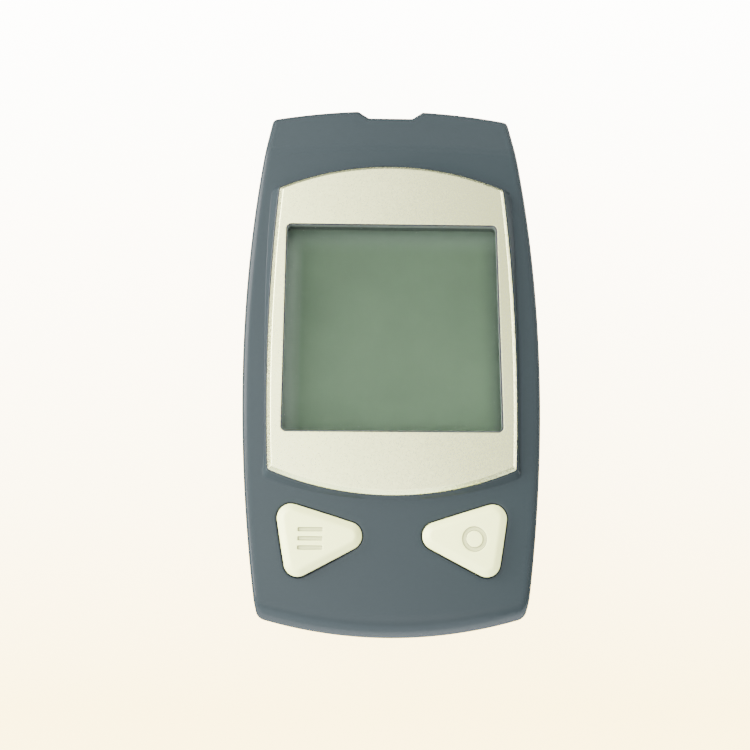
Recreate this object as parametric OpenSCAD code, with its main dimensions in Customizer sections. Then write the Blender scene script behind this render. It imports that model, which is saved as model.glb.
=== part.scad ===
// Pocket blood glucose meter, lying on its back with the display facing up.
// X is the width, Y the length with the test strip port at +Y, Z the thickness.
// The origin is under the middle of the case, on the face that it rests on.

/* [Case] */
// Length of the case from end to end
body_l = 95; // [88:1:110]
// Width of the case at its widest place
body_w = 50.9; // [49:0.1:60]
// Radius of the bowed long sides
side_r = 290; // [200:1:400]
// Radius of the curved top end
top_r = 114; // [90:1:200]
// Radius of the curved bottom end
bottom_r = 78.5; // [70:0.5:150]
// Height of the widest place above the middle of the length
belly_y = 1; // [-3:0.5:3]
// Radius of the two corners at the top end
top_corner_r = 1.2; // [0.8:0.1:3]
// Radius of the two corners at the bottom end
bottom_corner_r = 1.6; // [0.8:0.1:4]
// Height of the parting line between the two shells
split_z = 8.5; // [8:0.1:8.8]
// Thickness of the side walls
wall = 1.6; // [1.2:0.1:1.8]
// Thickness of the front shell's roof
roof = 1.6; // [1.2:0.1:1.8]
// Thickness of the rear shell's floor
floor_t = 2; // [1.8:0.1:2.4]
// Height of the lip that lines up the two shells
lip_h = 1.2; // [0.8:0.1:1.3]
// Thickness of that lip
lip_t = 0.7; // [0.5:0.05:0.8]

/* [Front surface] */
// Depth of the front shell's highest place below the front panel's face
crown_drop = 1; // [0.9:0.1:1.4]
// Place of that highest point above the middle of the length
crown_y = -4; // [-10:1:4]
// Radius of the front surface across the case
crown_rx = 500; // [400:10:900]
// Radius of the front surface along the case
crown_ry = 600; // [500:10:1200]
// Depth of the top edge below the front panel's face
top_edge_drop = 4.9; // [4:0.1:5.4]
// Slope of the surface that falls towards the top end, in degrees
top_slope = 14.5; // [10:0.5:20]
// Radius of the rounded fall at the bottom end
chin_r = 7.5; // [7.2:0.1:9]
// Distance of that radius's centre from the bottom end
chin_in = 6.7; // [6:0.1:7]
// Depth of that radius's centre below the front panel's face
chin_drop = 9.1; // [8.6:0.1:9.6]
// Slope at which that radius starts, in degrees
chin_start = 27; // [20:1:35]

/* [Back surface] */
// Radius of the rounded edge round the back
back_r = 7; // [6:0.5:9]
// Distance of that radius's centre in from the outline
back_in = 6.8; // [5.8:0.1:6.9]
// Height of that radius's centre above the rest face
back_rise = 5.6; // [5:0.1:5.8]

/* [Test strip port] */
// Width of the finger notch at its mouth
notch_w = 12; // [10:0.5:16]
// Width of the finger notch at its floor
notch_floor_w = 8; // [6:0.5:9.5]
// Depth of the finger notch below its two corners
notch_d = 1.65; // [0.8:0.05:2]
// Width of the test strip slot
slot_w = 7.4; // [6:0.1:8]
// Height of the test strip slot
slot_h = 1.2; // [0.8:0.1:1.6]
// Depth of the slot's middle below the circuit board
slot_drop = 1.9; // [1.7:0.1:2.1]
// Width of the strip connector
connector_w = 12; // [10.5:0.5:13]
// Length of the strip connector
connector_l = 12; // [10:0.5:14]

/* [Front panel] */
// Width of the front panel at its widest place
panel_w = 42.2; // [41:0.1:43]
// Distance of the panel's top edge from the top end of the case
panel_top_in = 13.85; // [13:0.05:15]
// Length of the panel
panel_l = 58.5; // [57:0.5:60]
// How far up the panel its widest place lies, as a part of its length
panel_belly = 0.43; // [0.38:0.01:0.5]
// Radius of the panel's bowed sides
panel_side_r = 347; // [250:1:500]
// Radius of the panel's top edge
panel_top_r = 48; // [44:1:70]
// Radius of the panel's bottom edge
panel_bottom_r = 52; // [48:1:80]
// Radius of the panel's corners
panel_corner_r = 0.7; // [0.5:0.1:1.5]
// Thickness of the panel
panel_t = 1.8; // [1.6:0.1:2]
// Width of the bevel round the panel
panel_bevel = 0.75; // [0.4:0.05:1]
// Height of the bevel round the panel
panel_bevel_h = 0.7; // [0.4:0.05:0.8]
// Gap between the panel and the seat it lies in
panel_gap = 0.15; // [0.1:0.01:0.3]
// Width of the flat rim of the seat round the panel
seat_rim = 0.3; // [0.2:0.05:0.6]
// Depth of that rim below the panel's face
seat_drop = 0.8; // [0.75:0.05:0.9]

/* [Display] */
// Width of the display window
window_w = 36.8; // [34:0.1:37]
// Height of the display window
window_l = 36.7; // [34:0.1:37]
// Distance of the window's top edge from the panel's top edge
window_in = 11.4; // [11:0.1:12]
// Radius of the window's corners
window_r = 0.9; // [0.5:0.1:2]
// Gap between the lens and the window's edge
lens_gap = 0.1; // [0.05:0.01:0.2]
// Depth of the lens below the panel's face
lens_drop = 0.12; // [0.05:0.01:0.3]
// Width of the lens's hidden flange
flange_w = 1.4; // [1:0.1:1.6]
// Thickness of that flange
flange_t = 0.6; // [0.5:0.05:0.7]
// Depth of the display glass below the panel's face
glass_drop = 3.2; // [3:0.1:3.4]
// Thickness of the display glass
glass_t = 2.2; // [2:0.1:2.4]
// Border of the display glass outside the window, at its sides
glass_side = 2.4; // [1.8:0.1:2.6]
// Border of the display glass outside the window, at its top and bottom
glass_end = 2.2; // [2:0.1:2.4]
// Thickness of the display holder's walls
holder_t = 0.8; // [0.6:0.1:0.9]
// Gap under the display glass, filled by the elastic connector strip
glass_lift = 0.8; // [0.6:0.1:1]

/* [Buttons] */
// Distance of a button's middle from the middle of the case
button_x = 12.15; // [11.5:0.05:12.4]
// Distance of the buttons' middle below the panel's bottom edge
button_below = 7.1; // [7:0.05:7.6]
// Distance between a button's two outer corners, centre to centre
button_tall = 7.1; // [6.5:0.1:7.8]
// Distance from the outer corners to the inner one, centre to centre
button_reach = 8.7; // [8:0.1:9.4]
// How far the lower outer corner stands in from the upper one
button_lean = 1.3; // [0:0.1:2]
// Radius of a button's corners
button_r = 2.25; // [2:0.05:2.6]
// Height that a button stands above the shell
button_proud = 1.15; // [0.8:0.05:1.3]
// Width of the sloping edge of a button
button_edge = 1.1; // [0.6:0.05:1.4]
// Height of that sloping edge
button_edge_h = 0.8; // [0.4:0.05:0.9]
// Gap between a button and the shell
button_gap = 0.2; // [0.15:0.01:0.3]
// Width of the flange that keeps a button in
button_flange = 0.7; // [0.5:0.05:0.8]
// Thickness of that flange
button_flange_t = 0.8; // [0.7:0.05:0.9]
// Travel of a button
button_travel = 0.35; // [0.2:0.05:0.4]
// Depth of the mark sunk into a button
mark_d = 0.3; // [0.2:0.05:0.4]
// Size of that mark
mark_s = 4; // [3:0.1:4.4]

/* [Circuit board] */
// Thickness of the circuit board
board_t = 1.2; // [1:0.1:1.4]
// Gap between the board's edge and the case wall
board_gap = 0.6; // [0.4:0.1:1]
// Distance of the board's top edge from the top end of the case
board_top_in = 4; // [3.8:0.1:5]
// Distance of the board's bottom edge from the bottom end of the case
board_bottom_in = 9.5; // [8:0.5:10]
// Side of a button switch
switch_s = 4.5; // [4:0.1:5]
// Radius of a switch's plunger
plunger_r = 1.1; // [0.8:0.1:1.3]

/* [Battery bay] */
// Diameter of a cell
cell_d = 10.3; // [10:0.1:10.5]
// Length of a cell with its end cap
cell_l = 44.5; // [43.5:0.1:44.5]
// Gap between the two cells
cell_gap = 0.7; // [0.4:0.1:1]
// Length of a pressed battery spring
spring_l = 4; // [3:0.1:5]
// Distance of the bay's bottom contact from the bottom end of the case
bay_in = 4.4; // [4.2:0.1:5]
// Room between the cells and the circuit board
cell_room = 0.5; // [0.3:0.1:2]
// Gap between a cell and the bay's walls
bay_gap = 0.35; // [0.2:0.05:0.6]
// Thickness of the battery door
door_t = 1.6; // [1.4:0.1:1.6]
// Width of the tongues along the door
tongue_w = 1; // [0.8:0.1:1.2]
// Thickness of those tongues
tongue_t = 0.75; // [0.6:0.05:0.8]
// Gap round the door
door_gap = 0.12; // [0.1:0.01:0.2]
// How far the outside of the door lies above the rest face
door_rise = 0.1; // [0.05:0.01:0.2]

/* [Fixings] */
// Radius of a case screw's thread
screw_r = 0.85; // [0.7:0.05:1]
// Radius of a case screw's head
head_r = 1.7; // [1.5:0.1:1.9]
// Radius of the bosses that take the case screws
boss_r = 2.3; // [2.1:0.1:2.6]
// Distance of the upper screws from the top end of the case
screw_top_in = 8.5; // [8:0.1:9.5]
// Distance of the lower screws from the bottom end of the case
screw_bottom_in = 6.3; // [6:0.1:6.6]
// Distance of the screws from the side of the case
screw_side_in = 4.9; // [4.8:0.05:5.2]
// Radius of a board screw's thread
board_screw_r = 0.6; // [0.5:0.05:0.7]
// Radius of a board screw's head
board_head_r = 1.5; // [1.2:0.1:1.6]
// Gap between a screw's thread and its hole
screw_gap = 0.05; // [0.03:0.01:0.08]

/* [Hidden] */

// Room that cuts run past the faces they open
cut = 1;
// Straight pieces that stand for half an end, for a corner and for a side of an outline
end_steps = 7;
corner_steps = 4;
side_steps = 12;

// The ends of the case and the centres of its four arcs
top_y = body_l / 2;
bottom_y = -body_l / 2;
side_c = side_r - body_w / 2;
top_c = top_y - sqrt(pow(top_r, 2) - pow(notch_w / 2, 2));
bottom_c = bottom_y + bottom_r;
notch_floor_y = top_y - notch_d;
lip_gap = 0.1;

// The stack that gives the case its thickness: door, cells, board, display and panel
cell_lift = 0.1;
door_z = door_rise + door_t;
cell_z = door_z + cell_lift + cell_d / 2;
board_z0 = cell_z + cell_d / 2 + cell_room;
board_z = board_z0 + board_t;
glass_z = board_z + glass_lift + glass_t;
body_h = glass_z + glass_drop;

// How far out of the middle the two creases lie, as a part of the way to the edge
top_crease = 0.8;
chin_crease = 0.93;

// Heights of the front surface, counted down from the panel's face
crown_z = body_h - crown_drop;
top_edge_z = body_h - top_edge_drop;
chin_z = body_h - chin_drop;

// The panel and its window
panel_top_y = top_y - panel_top_in;
panel_bottom_y = panel_top_y - panel_l;
panel_belly_y = panel_bottom_y + panel_l * panel_belly;
panel_z = body_h - panel_t;
window_y1 = panel_top_y - window_in;
window_y0 = window_y1 - window_l;
window_y = (window_y0 + window_y1) / 2;
lens_z = body_h - lens_drop;
flange_gap = 0.15;
port_w = 0.8;

// The display stack
glass_w = window_w + 2 * glass_side;
glass_l = window_l + 2 * glass_end;
holder_gap = 0.1;
holder_w = glass_w + 2 * (holder_t + holder_gap);
holder_l = glass_l + 2 * (holder_t + holder_gap);
holder_drop = 0.15;
holder_room = 0.3;
gasket_t = 0.5;
gasket_gap = 0.1;
ledge_t = 1.1;

// The buttons
button_y = panel_bottom_y - button_below;
button_top_z = crown_z + button_proud - fall(button_x, button_y);
flange_lift = 1.3;
flange_z = board_z + flange_lift;
seat_room = 0.3;
mark_out = 1.1;
mark_up = 0.2;
switch_h = 0.8;
switch_floor = 0.2;
plunger_gap = 0.15;
plunger_lift = 0.2;

// The battery bay and its door
bay_y0 = bottom_y + bay_in;
bay_l = cell_l + spring_l;
contact_t = 0.4;
bay_y1 = bay_y0 + contact_t + bay_l;
bay_w = 2 * cell_d + cell_gap + 2 * bay_gap;
bay_wall = 1.2;
cell_x = (cell_d + cell_gap) / 2;
bay_rise = 1.3;
bay_top = cell_z + bay_rise;
rib_t = 1;
door_side = 1;
door_end = 0.8;
door_w = bay_w + 2 * door_side;
door_y1 = bay_y1 + contact_t + rib_t + door_end;
bed_t = 1.3;
bed_z = door_z + bed_t;
bed_side = 1.4;
bed_end = 1.5;
tongue_z = door_z - tongue_t;
plate_w = 7;
plate_gap = 0.2;
tab_w = 2;

// The screws
top_screw_y = top_y - screw_top_in;
bottom_screw_y = bottom_y + screw_bottom_in;
top_screw_x = half_width(top_screw_y) - screw_side_in;
bottom_screw_x = half_width(bottom_screw_y) - screw_side_in;
screws = [
    [top_screw_x, top_screw_y], [-top_screw_x, top_screw_y],
    [bottom_screw_x, bottom_screw_y], [-bottom_screw_x, bottom_screw_y]
];
head_h = 1.4;
head_z = 0.6;
head_gap = 0.15;
screw_l = 10;
screw_room = 1;
rear_boss_r = boss_r + 0.2;
boss_gap = 0.4;
board_screw_x = 9;
board_screw_in = 0.6;
board_screw_below = 1;
board_screws_at = [
    [-board_screw_x, panel_top_y - board_screw_in], [board_screw_x, panel_top_y - board_screw_in],
    [0, button_y - board_screw_below]
];
board_head_h = 0.9;
board_screw_l = 3;
board_screw_room = 0.5;
board_hole_gap = 0.15;
post_r = 2;

// The strip port
slot_z = board_z0 - slot_drop;
slot_clear = 0.2;
connector_gap = 0.3;
connector_floor = 0.9;
connector_back = 2.5;
connector_y1 = notch_floor_y - rear_wall() - connector_gap;
connector_y0 = connector_y1 - connector_l;
connector_z0 = slot_z - slot_h / 2 - connector_floor;
contact_w = 0.8;
contact_gap = 0.2;
contact_step = 1.75;
contact_end = 1.5;
contact_wire = 0.2;

// The parts under the board
controller_s = 10;
controller_h = 1.4;
controller_up = 9;
memory_w = 4;
memory_l = 5;
memory_h = 1.2;
memory_up = 7;
capacitor_w = 2;
capacitor_l = 1.25;
capacitor_h = 0.9;
capacitor_step = 2.2;
capacitor_up = 12;
small_in = 5.2;
small_x = top_screw_x - small_in;
crystal_r = 1;
crystal_l = 6;
crystal_up = 5;
crystal_in = 8.2;
crystal_x = top_screw_x - crystal_in;
buzzer_r = 5;
buzzer_h = 2.4;
buzzer_up = 14;
buzzer_in = 4.2;
buzzer_x = top_screw_x - buzzer_in;

// The rear label
label_w = 30;
label_l = 24;
label_d = 0.25;
label_t = 0.15;
label_gap = 0.1;
label_r = 2;

// Thickness of the rear shell's wall, so that it stays whole where the back edge is rounded
function rear_wall() =
    wall + max(lip_gap + lip_t, back_in - sqrt(pow(back_r, 2) - pow(back_rise - floor_t, 2)));

// Half the case's width at a place along its length
function half_width(y) = sqrt(pow(side_r, 2) - pow(y - belly_y, 2)) - side_c;

// How far the crowned front surface has fallen at a place
function fall(x, y) = x * x / (2 * crown_rx) + pow(y - crown_y, 2) / (2 * crown_ry);

// The place where a circle round a and a circle round b cross, on the left of the way from a to b
function crossing(a, ra, b, rb, turn) =
    let (d = norm(b - a), u = (b - a) / d, along = (ra * ra - rb * rb + d * d) / (2 * d))
    a + along * u + turn * sqrt(ra * ra - along * along) * [-u[1], u[0]];

// The direction from a to b, in degrees
function heading(a, b) = atan2(b[1] - a[1], b[0] - a[0]);

// Points along an arc round c, leaving out the last one
function arc(c, r, from, to, n) =
    [for (i = [0:n - 1]) let (a = from + (to - from) * i / n) c + r * [cos(a), sin(a)]];

// The right half of a barrel outline between a bowed side and two bowed ends, drawn in by inset.
// w is its width, yc its widest place, rs the side radius; the ends are at y1 and y0 with radii r1 and r0,
// and their corners have radii c1 and c0.
function half_barrel(w, yc, rs, y1, r1, y0, r0, c1, c0, inset) =
    let (side = [w / 2 - rs, yc], top = [0, y1 - r1], bottom = [0, y0 + r0], least = 0.3,
         q1 = max(c1 - inset, least), q0 = max(c0 - inset, least),
         k1 = crossing(side, rs - inset - q1, top, r1 - inset - q1, 1),
         k0 = crossing(side, rs - inset - q0, bottom, r0 - inset - q0, -1))
    concat(
        arc(bottom, r0 - inset, -90, heading(bottom, k0), end_steps),
        arc(k0, q0, heading(bottom, k0), heading(side, k0), corner_steps),
        arc(side, rs - inset, heading(side, k0), heading(side, k1), side_steps),
        arc(k1, q1, heading(side, k1), heading(top, k1), corner_steps),
        arc(top, r1 - inset, heading(top, k1), 90, end_steps)
    );

// A whole outline of points from its right half and its top point, with the left half mirrored
function mirrored(half, top) =
    concat(half, [top], [for (i = [len(half) - 1:-1:1]) [-half[i][0], half[i][1]]]);

// The finger notch, grown by inset
module notch(inset = 0) {
    lean = (notch_w - notch_floor_w) / 2;
    side = sqrt(pow(lean, 2) + pow(notch_d, 2));
    grow = inset * (side - lean) / notch_d;
    rise = notch_d + inset + cut;
    polygon([
        [-notch_floor_w / 2 - grow, notch_floor_y - inset], [notch_floor_w / 2 + grow, notch_floor_y - inset],
        [notch_floor_w / 2 + grow + lean * rise / notch_d, notch_floor_y - inset + rise],
        [-notch_floor_w / 2 - grow - lean * rise / notch_d, notch_floor_y - inset + rise]
    ]);
}

// The outline of the case without its finger notch, drawn in by inset
function case_points(inset = 0) = mirrored(
    half_barrel(body_w, belly_y, side_r, top_c + top_r, top_r, bottom_y, bottom_r,
                top_corner_r, bottom_corner_r, inset),
    [0, top_c + top_r - inset]
);

// The outline of the case, drawn in by inset
module case_outline(inset = 0) {
    difference() {
        polygon(case_points(inset));
        notch(inset);
    }
}

// The outline of the front panel, drawn in by inset
module panel_outline(inset = 0) {
    polygon(mirrored(
        half_barrel(panel_w, panel_belly_y, panel_side_r, panel_top_y, panel_top_r, panel_bottom_y,
                    panel_bottom_r, panel_corner_r, panel_corner_r, inset),
        [0, panel_top_y - inset]
    ));
}

// A rectangle with rounded corners
module rounded(w, l, r) {
    square([w - 2 * r, l], center = true);
    square([w, l - 2 * r], center = true);
    for (x = [-1, 1], y = [-1, 1])
        translate([x * (w / 2 - r), y * (l / 2 - r)]) circle(r, $fn = 48);
}

// A flat piece of an outline from z0 to z1
module slab(z0, z1) {
    translate([0, 0, z0]) linear_extrude(z1 - z0) children();
}

// Height of the surface that falls towards the top end, at a place
function top_fall_z(x, y) = top_edge_z + (top_r - norm([x, y - top_c])) * tan(top_slope);

// Height of the rounded fall at the bottom end, at a place
function chin_fall_z(x, y) =
    let (out = norm([x, y - bottom_c]) - (bottom_r - chin_in), from = chin_r * sin(chin_start))
    out < from
    ? chin_z + chin_r * cos(chin_start) + (from - out) * tan(chin_start)
    : chin_z + sqrt(max(0, pow(chin_r, 2) - pow(out, 2)));

// Height of the front surface at a place: the lowest of the crown and the two falls
function front_z(x, y) = min(crown_z - fall(x, y), top_fall_z(x, y), chin_fall_z(x, y));

// The front half of the case as a solid from z0 up, drawn in by inset and lowered by drop.
// Its top is a net of shrinking outlines, closer together along the two creases.
module front_block(z0, inset = 0, drop = 0) {
    rim = case_points(inset);
    n = len(rim);
    rings = [1, 0.993, 0.982, 0.965, chin_crease, 0.87, top_crease, 0.6, 0.35];
    last = len(rings) - 1;
    top = [for (s = rings, p = rim) [s * p[0], s * p[1], front_z(s * p[0], s * p[1]) - drop]];
    base = [for (p = rim) [p[0], p[1], z0]];
    peak = len(top) + n;
    difference() {
        polyhedron(concat(top, base, [[0, 0, front_z(0, 0) - drop]]), concat(
            [for (j = [0:last - 1], i = [0:n - 1])
                let (a = j * n + i, b = j * n + (i + 1) % n) each [[a, a + n, b], [b, a + n, b + n]]],
            [for (i = [0:n - 1]) [last * n + i, peak, last * n + (i + 1) % n]],
            [for (i = [0:n - 1]) let (k = (i + 1) % n) [i, k, len(top) + k, len(top) + i]],
            [[for (i = [0:n - 1]) len(top) + i]]
        ));
        slab(z0 - cut, body_h + cut) notch(inset);
    }
}

// The rear half of the case as a solid, with its rounded back edge taken in short steps
module rear_block() {
    steps = 6;
    start = acos(back_in / back_r);
    end = asin(back_rise / back_r);
    levels = concat([[split_z, 0]], [
        for (i = [0:steps])
            let (a = start + (end - start) * i / steps)
            [i < steps ? back_rise - back_r * sin(a) : 0, back_in - back_r * cos(a)]
    ]);
    n = len(case_points());
    last = len(levels) - 1;
    difference() {
        polyhedron([for (l = levels, p = case_points(l[1])) [p[0], p[1], l[0]]], concat(
            [[for (i = [n - 1:-1:0]) i]],
            [for (j = [0:last - 1], i = [0:n - 1])
                let (a = j * n + i, b = j * n + (i + 1) % n) each [[a, b, b + n], [a, b + n, a + n]]],
            [[for (i = [0:n - 1]) last * n + i]]
        ));
        slab(-cut, split_z + cut) notch();
    }
}

// A button's outline in its place on the right, grown by grow
module button_outline(grow = 0) {
    r = button_r + grow;
    half = button_reach / 2;
    lobes = [
        [button_x + half, button_y + button_tall / 2],
        [button_x - half - button_lean / 2, button_y + button_lean / 2],
        [button_x + half - button_lean, button_y - button_tall / 2]
    ];
    polygon([
        for (i = [0:2])
            let (a = lobes[i], b = lobes[(i + 1) % 3], u = (b - a) / norm(b - a), out = [-u[1], u[0]])
            each [a - r * out, b - r * out]
    ]);
    for (p = lobes) translate(p) circle(r, $fn = 64);
}

// Height at which a post of radius r ends, half way into the roof
function post_top(at, r) =
    min(front_z(at[0], at[1]), front_z(at[0], at[1] + sign(at[1]) * r)) - roof / 2;

// A straight hole or peg at a place, from z0 to z1
module peg(at, r, z0, z1) {
    translate([at[0], at[1], z0]) cylinder(r = r, h = z1 - z0, $fn = 48);
}

// The raised seat for the panel, with sloping sides
module panel_seat() {
    rim = panel_gap + seat_rim;
    depth = roof + crown_drop;
    hull() {
        slab(body_h - seat_drop - 0.01, body_h - seat_drop) panel_outline(-rim);
        slab(body_h - seat_drop - depth, body_h - seat_drop - depth + 0.01) panel_outline(-rim - depth);
    }
}

module front_shell() {
    inner_y1 = window_y + holder_l / 2 + holder_room;
    color("#63717a") difference() {
        union() {
            difference() {
                union() {
                    front_block(split_z);
                    intersection() {
                        panel_seat();
                        slab(0, body_h) case_outline();
                    }
                }
                front_block(split_z - cut, wall, roof);
                translate([0, window_y, split_z]) linear_extrude(panel_z - split_z - ledge_t)
                    square([holder_w + 2 * holder_room, holder_l + 2 * holder_room], center = true);
            }
            for (p = screws) peg(p, boss_r, split_z, post_top(p, boss_r));
            for (p = board_screws_at) peg(p, post_r, board_z, post_top(p, post_r));
        }
        slab(panel_z, body_h + cut) panel_outline(-panel_gap);
        translate([0, window_y, split_z - cut]) linear_extrude(body_h)
            rounded(window_w + 2 * port_w, window_l + 2 * port_w, window_r + port_w);
        for (m = [0, 1]) mirror([m, 0, 0]) {
            slab(board_z, body_h + cut) button_outline(button_gap);
            slab(board_z, flange_z + button_flange_t + seat_room) button_outline(button_flange + seat_room);
        }
        for (p = screws) peg(p, screw_r + screw_gap, split_z - cut, head_z + head_h + screw_l + screw_room);
        for (p = board_screws_at)
            peg(p, board_screw_r + screw_gap, board_z - cut, board_z0 + board_screw_l + board_screw_room);
        translate([0, notch_floor_y, slot_z])
            cube([slot_w + 2 * slot_clear, 4 * wall, slot_h + 2 * slot_clear], center = true);
    }
}

module rear_shell() {
    rail_x = bay_w / 2;
    bed_x = door_w / 2 + tongue_w + bed_side;
    color("#5b6970") difference() {
        union() {
            rear_block();
            slab(split_z - cut, split_z + lip_h) case_outline(wall + lip_gap);
        }
        difference() {
            slab(floor_t, split_z + lip_h + cut) case_outline(rear_wall());
            for (p = screws) peg(p, rear_boss_r, 0, split_z);
            // The raised bed over the door and the walls of the bay
            translate([-bed_x, bottom_y, 0]) cube([2 * bed_x, door_y1 - bottom_y + bed_end, bed_z]);
            translate([-rail_x - bay_wall, bay_y0 - rib_t, 0])
                cube([2 * (rail_x + bay_wall), bay_y1 + contact_t - bay_y0 + 2 * rib_t, bay_top]);
        }
        // The bay for the cells, open to the back and the front
        translate([-rail_x, bay_y0, -cut]) cube([2 * rail_x, bay_y1 + contact_t - bay_y0, body_h]);
        // The door's recess and the grooves for its tongues
        translate([-door_w / 2 - door_gap, bottom_y - cut, -cut])
            cube([door_w + 2 * door_gap, door_y1 + door_gap - bottom_y + cut, door_z + door_gap + cut]);
        translate([-door_w / 2 - tongue_w - door_gap, bottom_y - cut, tongue_z - door_gap])
            cube([door_w + 2 * (tongue_w + door_gap), door_y1 + door_gap - bottom_y + cut,
                  tongue_t + 2 * door_gap]);
        for (p = screws) {
            peg(p, screw_r + screw_gap, -cut, split_z + cut);
            peg(p, head_r + head_gap, -cut, head_z + head_h);
            peg(p, boss_r + boss_gap, split_z, body_h);
        }
        slab(-cut, label_d) label_outline(label_gap);
    }
}

// The recess of the rear label and the label, grown by grow
module label_outline(grow = 0) {
    translate([0, (door_y1 + top_y) / 2]) rounded(label_w + 2 * grow, label_l + 2 * grow, label_r);
}

module rear_label() {
    color("#c9cccb") slab(label_d - label_t, label_d) label_outline();
}

module battery_door() {
    grips = 6;
    grip_step = 1.5;
    grip_in = 4;
    grip_r = 0.45;
    color("#5b6970") difference() {
        intersection() {
            union() {
                translate([-door_w / 2, bottom_y, door_rise]) cube([door_w, door_y1 - bottom_y, door_t]);
                translate([-door_w / 2 - tongue_w, bottom_y, tongue_z])
                    cube([door_w + 2 * tongue_w, door_y1 - bottom_y, tongue_t]);
            }
            rear_block();
        }
        for (i = [0:grips - 1])
            translate([-door_w / 4, door_y1 - grip_in - i * grip_step, door_rise]) rotate([0, 90, 0])
                cylinder(r = grip_r, h = door_w / 2, $fn = 24);
    }
}

module front_panel() {
    color("#d9d7c8") difference() {
        hull() {
            slab(panel_z, body_h - panel_bevel_h) panel_outline();
            slab(body_h - 0.01, body_h) panel_outline(panel_bevel);
        }
        translate([0, window_y, panel_z - cut]) linear_extrude(panel_t + 2 * cut)
            rounded(window_w, window_l, window_r);
        translate([0, window_y, panel_z - cut]) linear_extrude(cut + flange_t + lens_gap)
            rounded(window_w + 2 * (flange_w + flange_gap), window_l + 2 * (flange_w + flange_gap), window_r);
    }
}

module display_lens() {
    color("#b7c4b9", 0.5) translate([0, window_y, 0]) {
        slab(panel_z, lens_z) rounded(window_w - 2 * lens_gap, window_l - 2 * lens_gap, window_r);
        slab(panel_z, panel_z + flange_t)
            rounded(window_w + 2 * flange_w, window_l + 2 * flange_w, window_r);
    }
}

module display_gasket() {
    w = window_w + 2 * (port_w - gasket_gap);
    l = window_l + 2 * (port_w - gasket_gap);
    color("#2b2f2d") translate([0, window_y, 0]) slab(glass_z, panel_z) difference() {
        rounded(w, l, window_r + port_w);
        rounded(w - 2 * gasket_t, l - 2 * gasket_t, window_r);
    }
}

module display_glass() {
    color("#7c8c7e") translate([0, window_y, glass_z - glass_t / 2])
        cube([glass_w, glass_l, glass_t], center = true);
}

module display_holder() {
    color("#d8dad6") translate([0, window_y, 0]) slab(board_z, glass_z - holder_drop) difference() {
        square([holder_w, holder_l], center = true);
        square([glass_w + 2 * holder_gap, glass_l + 2 * holder_gap], center = true);
    }
}

module display_connector() {
    strip_w = 1.6;
    color("#c98b8b") translate([0, window_y - glass_l / 2 + strip_w, board_z + glass_lift / 2])
        cube([window_w, strip_w, glass_lift], center = true);
}

module circuit_board() {
    board_y0 = bottom_y + board_bottom_in;
    board_y1 = top_y - board_top_in;
    color("#2f6b46") difference() {
        intersection() {
            slab(board_z0, board_z) case_outline(rear_wall() + board_gap);
            translate([-body_w, board_y0, 0]) cube([2 * body_w, board_y1 - board_y0, body_h]);
        }
        for (p = screws) peg(p, boss_r + boss_gap, 0, body_h);
        for (p = board_screws_at) peg(p, board_screw_r + board_hole_gap, 0, body_h);
    }
}

// A flat chip under the board
module chip(x, y, w, l, h) {
    translate([x, y, board_z0 - h / 2]) cube([w, l, h], center = true);
}

module controller_chip() {
    color("#26282a") chip(0, door_y1 + controller_up, controller_s, controller_s, controller_h);
}

module memory_chip() {
    color("#26282a") chip(small_x, door_y1 + memory_up, memory_w, memory_l, memory_h);
}

module capacitors() {
    color("#b79a6b") for (i = [0:3])
        chip(small_x, door_y1 + capacitor_up + capacitor_step * i, capacitor_w, capacitor_l, capacitor_h);
}

module timing_crystal() {
    color("#c8ccd0") translate([-crystal_x, door_y1 + crystal_up, board_z0 - crystal_r]) rotate([0, -90, 0])
        cylinder(r = crystal_r, h = crystal_l, $fn = 32);
}

module buzzer() {
    color("#1d1f21") peg([-buzzer_x, door_y1 + buzzer_up], buzzer_r, board_z0 - buzzer_h, board_z0);
}

module strip_connector() {
    color("#22252a") difference() {
        translate([-connector_w / 2, connector_y0, connector_z0])
            cube([connector_w, connector_l, board_z0 - connector_z0]);
        translate([-slot_w / 2, connector_y0 + connector_back, slot_z - slot_h / 2])
            cube([slot_w, connector_l, slot_h]);
        for (x = contact_x())
            translate([x - contact_w / 2 - contact_gap, connector_y0 - cut, slot_z - slot_h / 2])
                cube([contact_w + 2 * contact_gap, connector_l - contact_end + cut,
                      board_z0 - slot_z + slot_h / 2 + cut]);
    }
}

// Places of the strip contacts across the slot
function contact_x() = [for (i = [-1.5:1:1.5]) i * contact_step];

module strip_contacts() {
    z = board_z0 - contact_wire;
    y = connector_y0;
    low = slot_z - slot_h / 2 + slot_h / 8;
    line = [
        [y + connector_l * 0.03, z], [y + connector_l * 0.5, low + slot_h / 4], [y + connector_l * 0.6, low],
        [y + connector_l * 0.72, low + slot_h / 2]
    ];
    color("#d4b25a") for (x = contact_x()) translate([x - contact_w / 2, 0, 0])
        rotate([90, 0, 90]) linear_extrude(contact_w)
            polygon(concat(line, [for (i = [3:-1:0]) line[i] + [0, contact_wire]]));
}

// A button: the cap, its keeping flange and the mark sunk into it
module button_cap() {
    difference() {
        union() {
            hull() {
                slab(flange_z, button_top_z - button_edge_h) button_outline();
                slab(button_top_z - 0.01, button_top_z) button_outline(-button_edge);
            }
            slab(flange_z, flange_z + button_flange_t) button_outline(button_flange);
        }
        translate([button_x + mark_out, button_y + mark_up, button_top_z - mark_d])
            linear_extrude(cut) children();
    }
}

// Three bars, the mark of the left button
module bars_mark() {
    for (i = [-1:1]) translate([0, i * mark_s * 0.36]) square([mark_s, mark_s * 0.16], center = true);
}

// A ring, the mark of the right button
module ring_mark() {
    difference() {
        circle(mark_s / 2, $fn = 64);
        circle(mark_s / 2 - mark_s * 0.17, $fn = 64);
    }
}

module left_button() {
    color("#ecebe0") mirror([1, 0, 0]) button_cap() bars_mark();
}

module right_button() {
    color("#ecebe0") button_cap() ring_mark();
}

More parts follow.
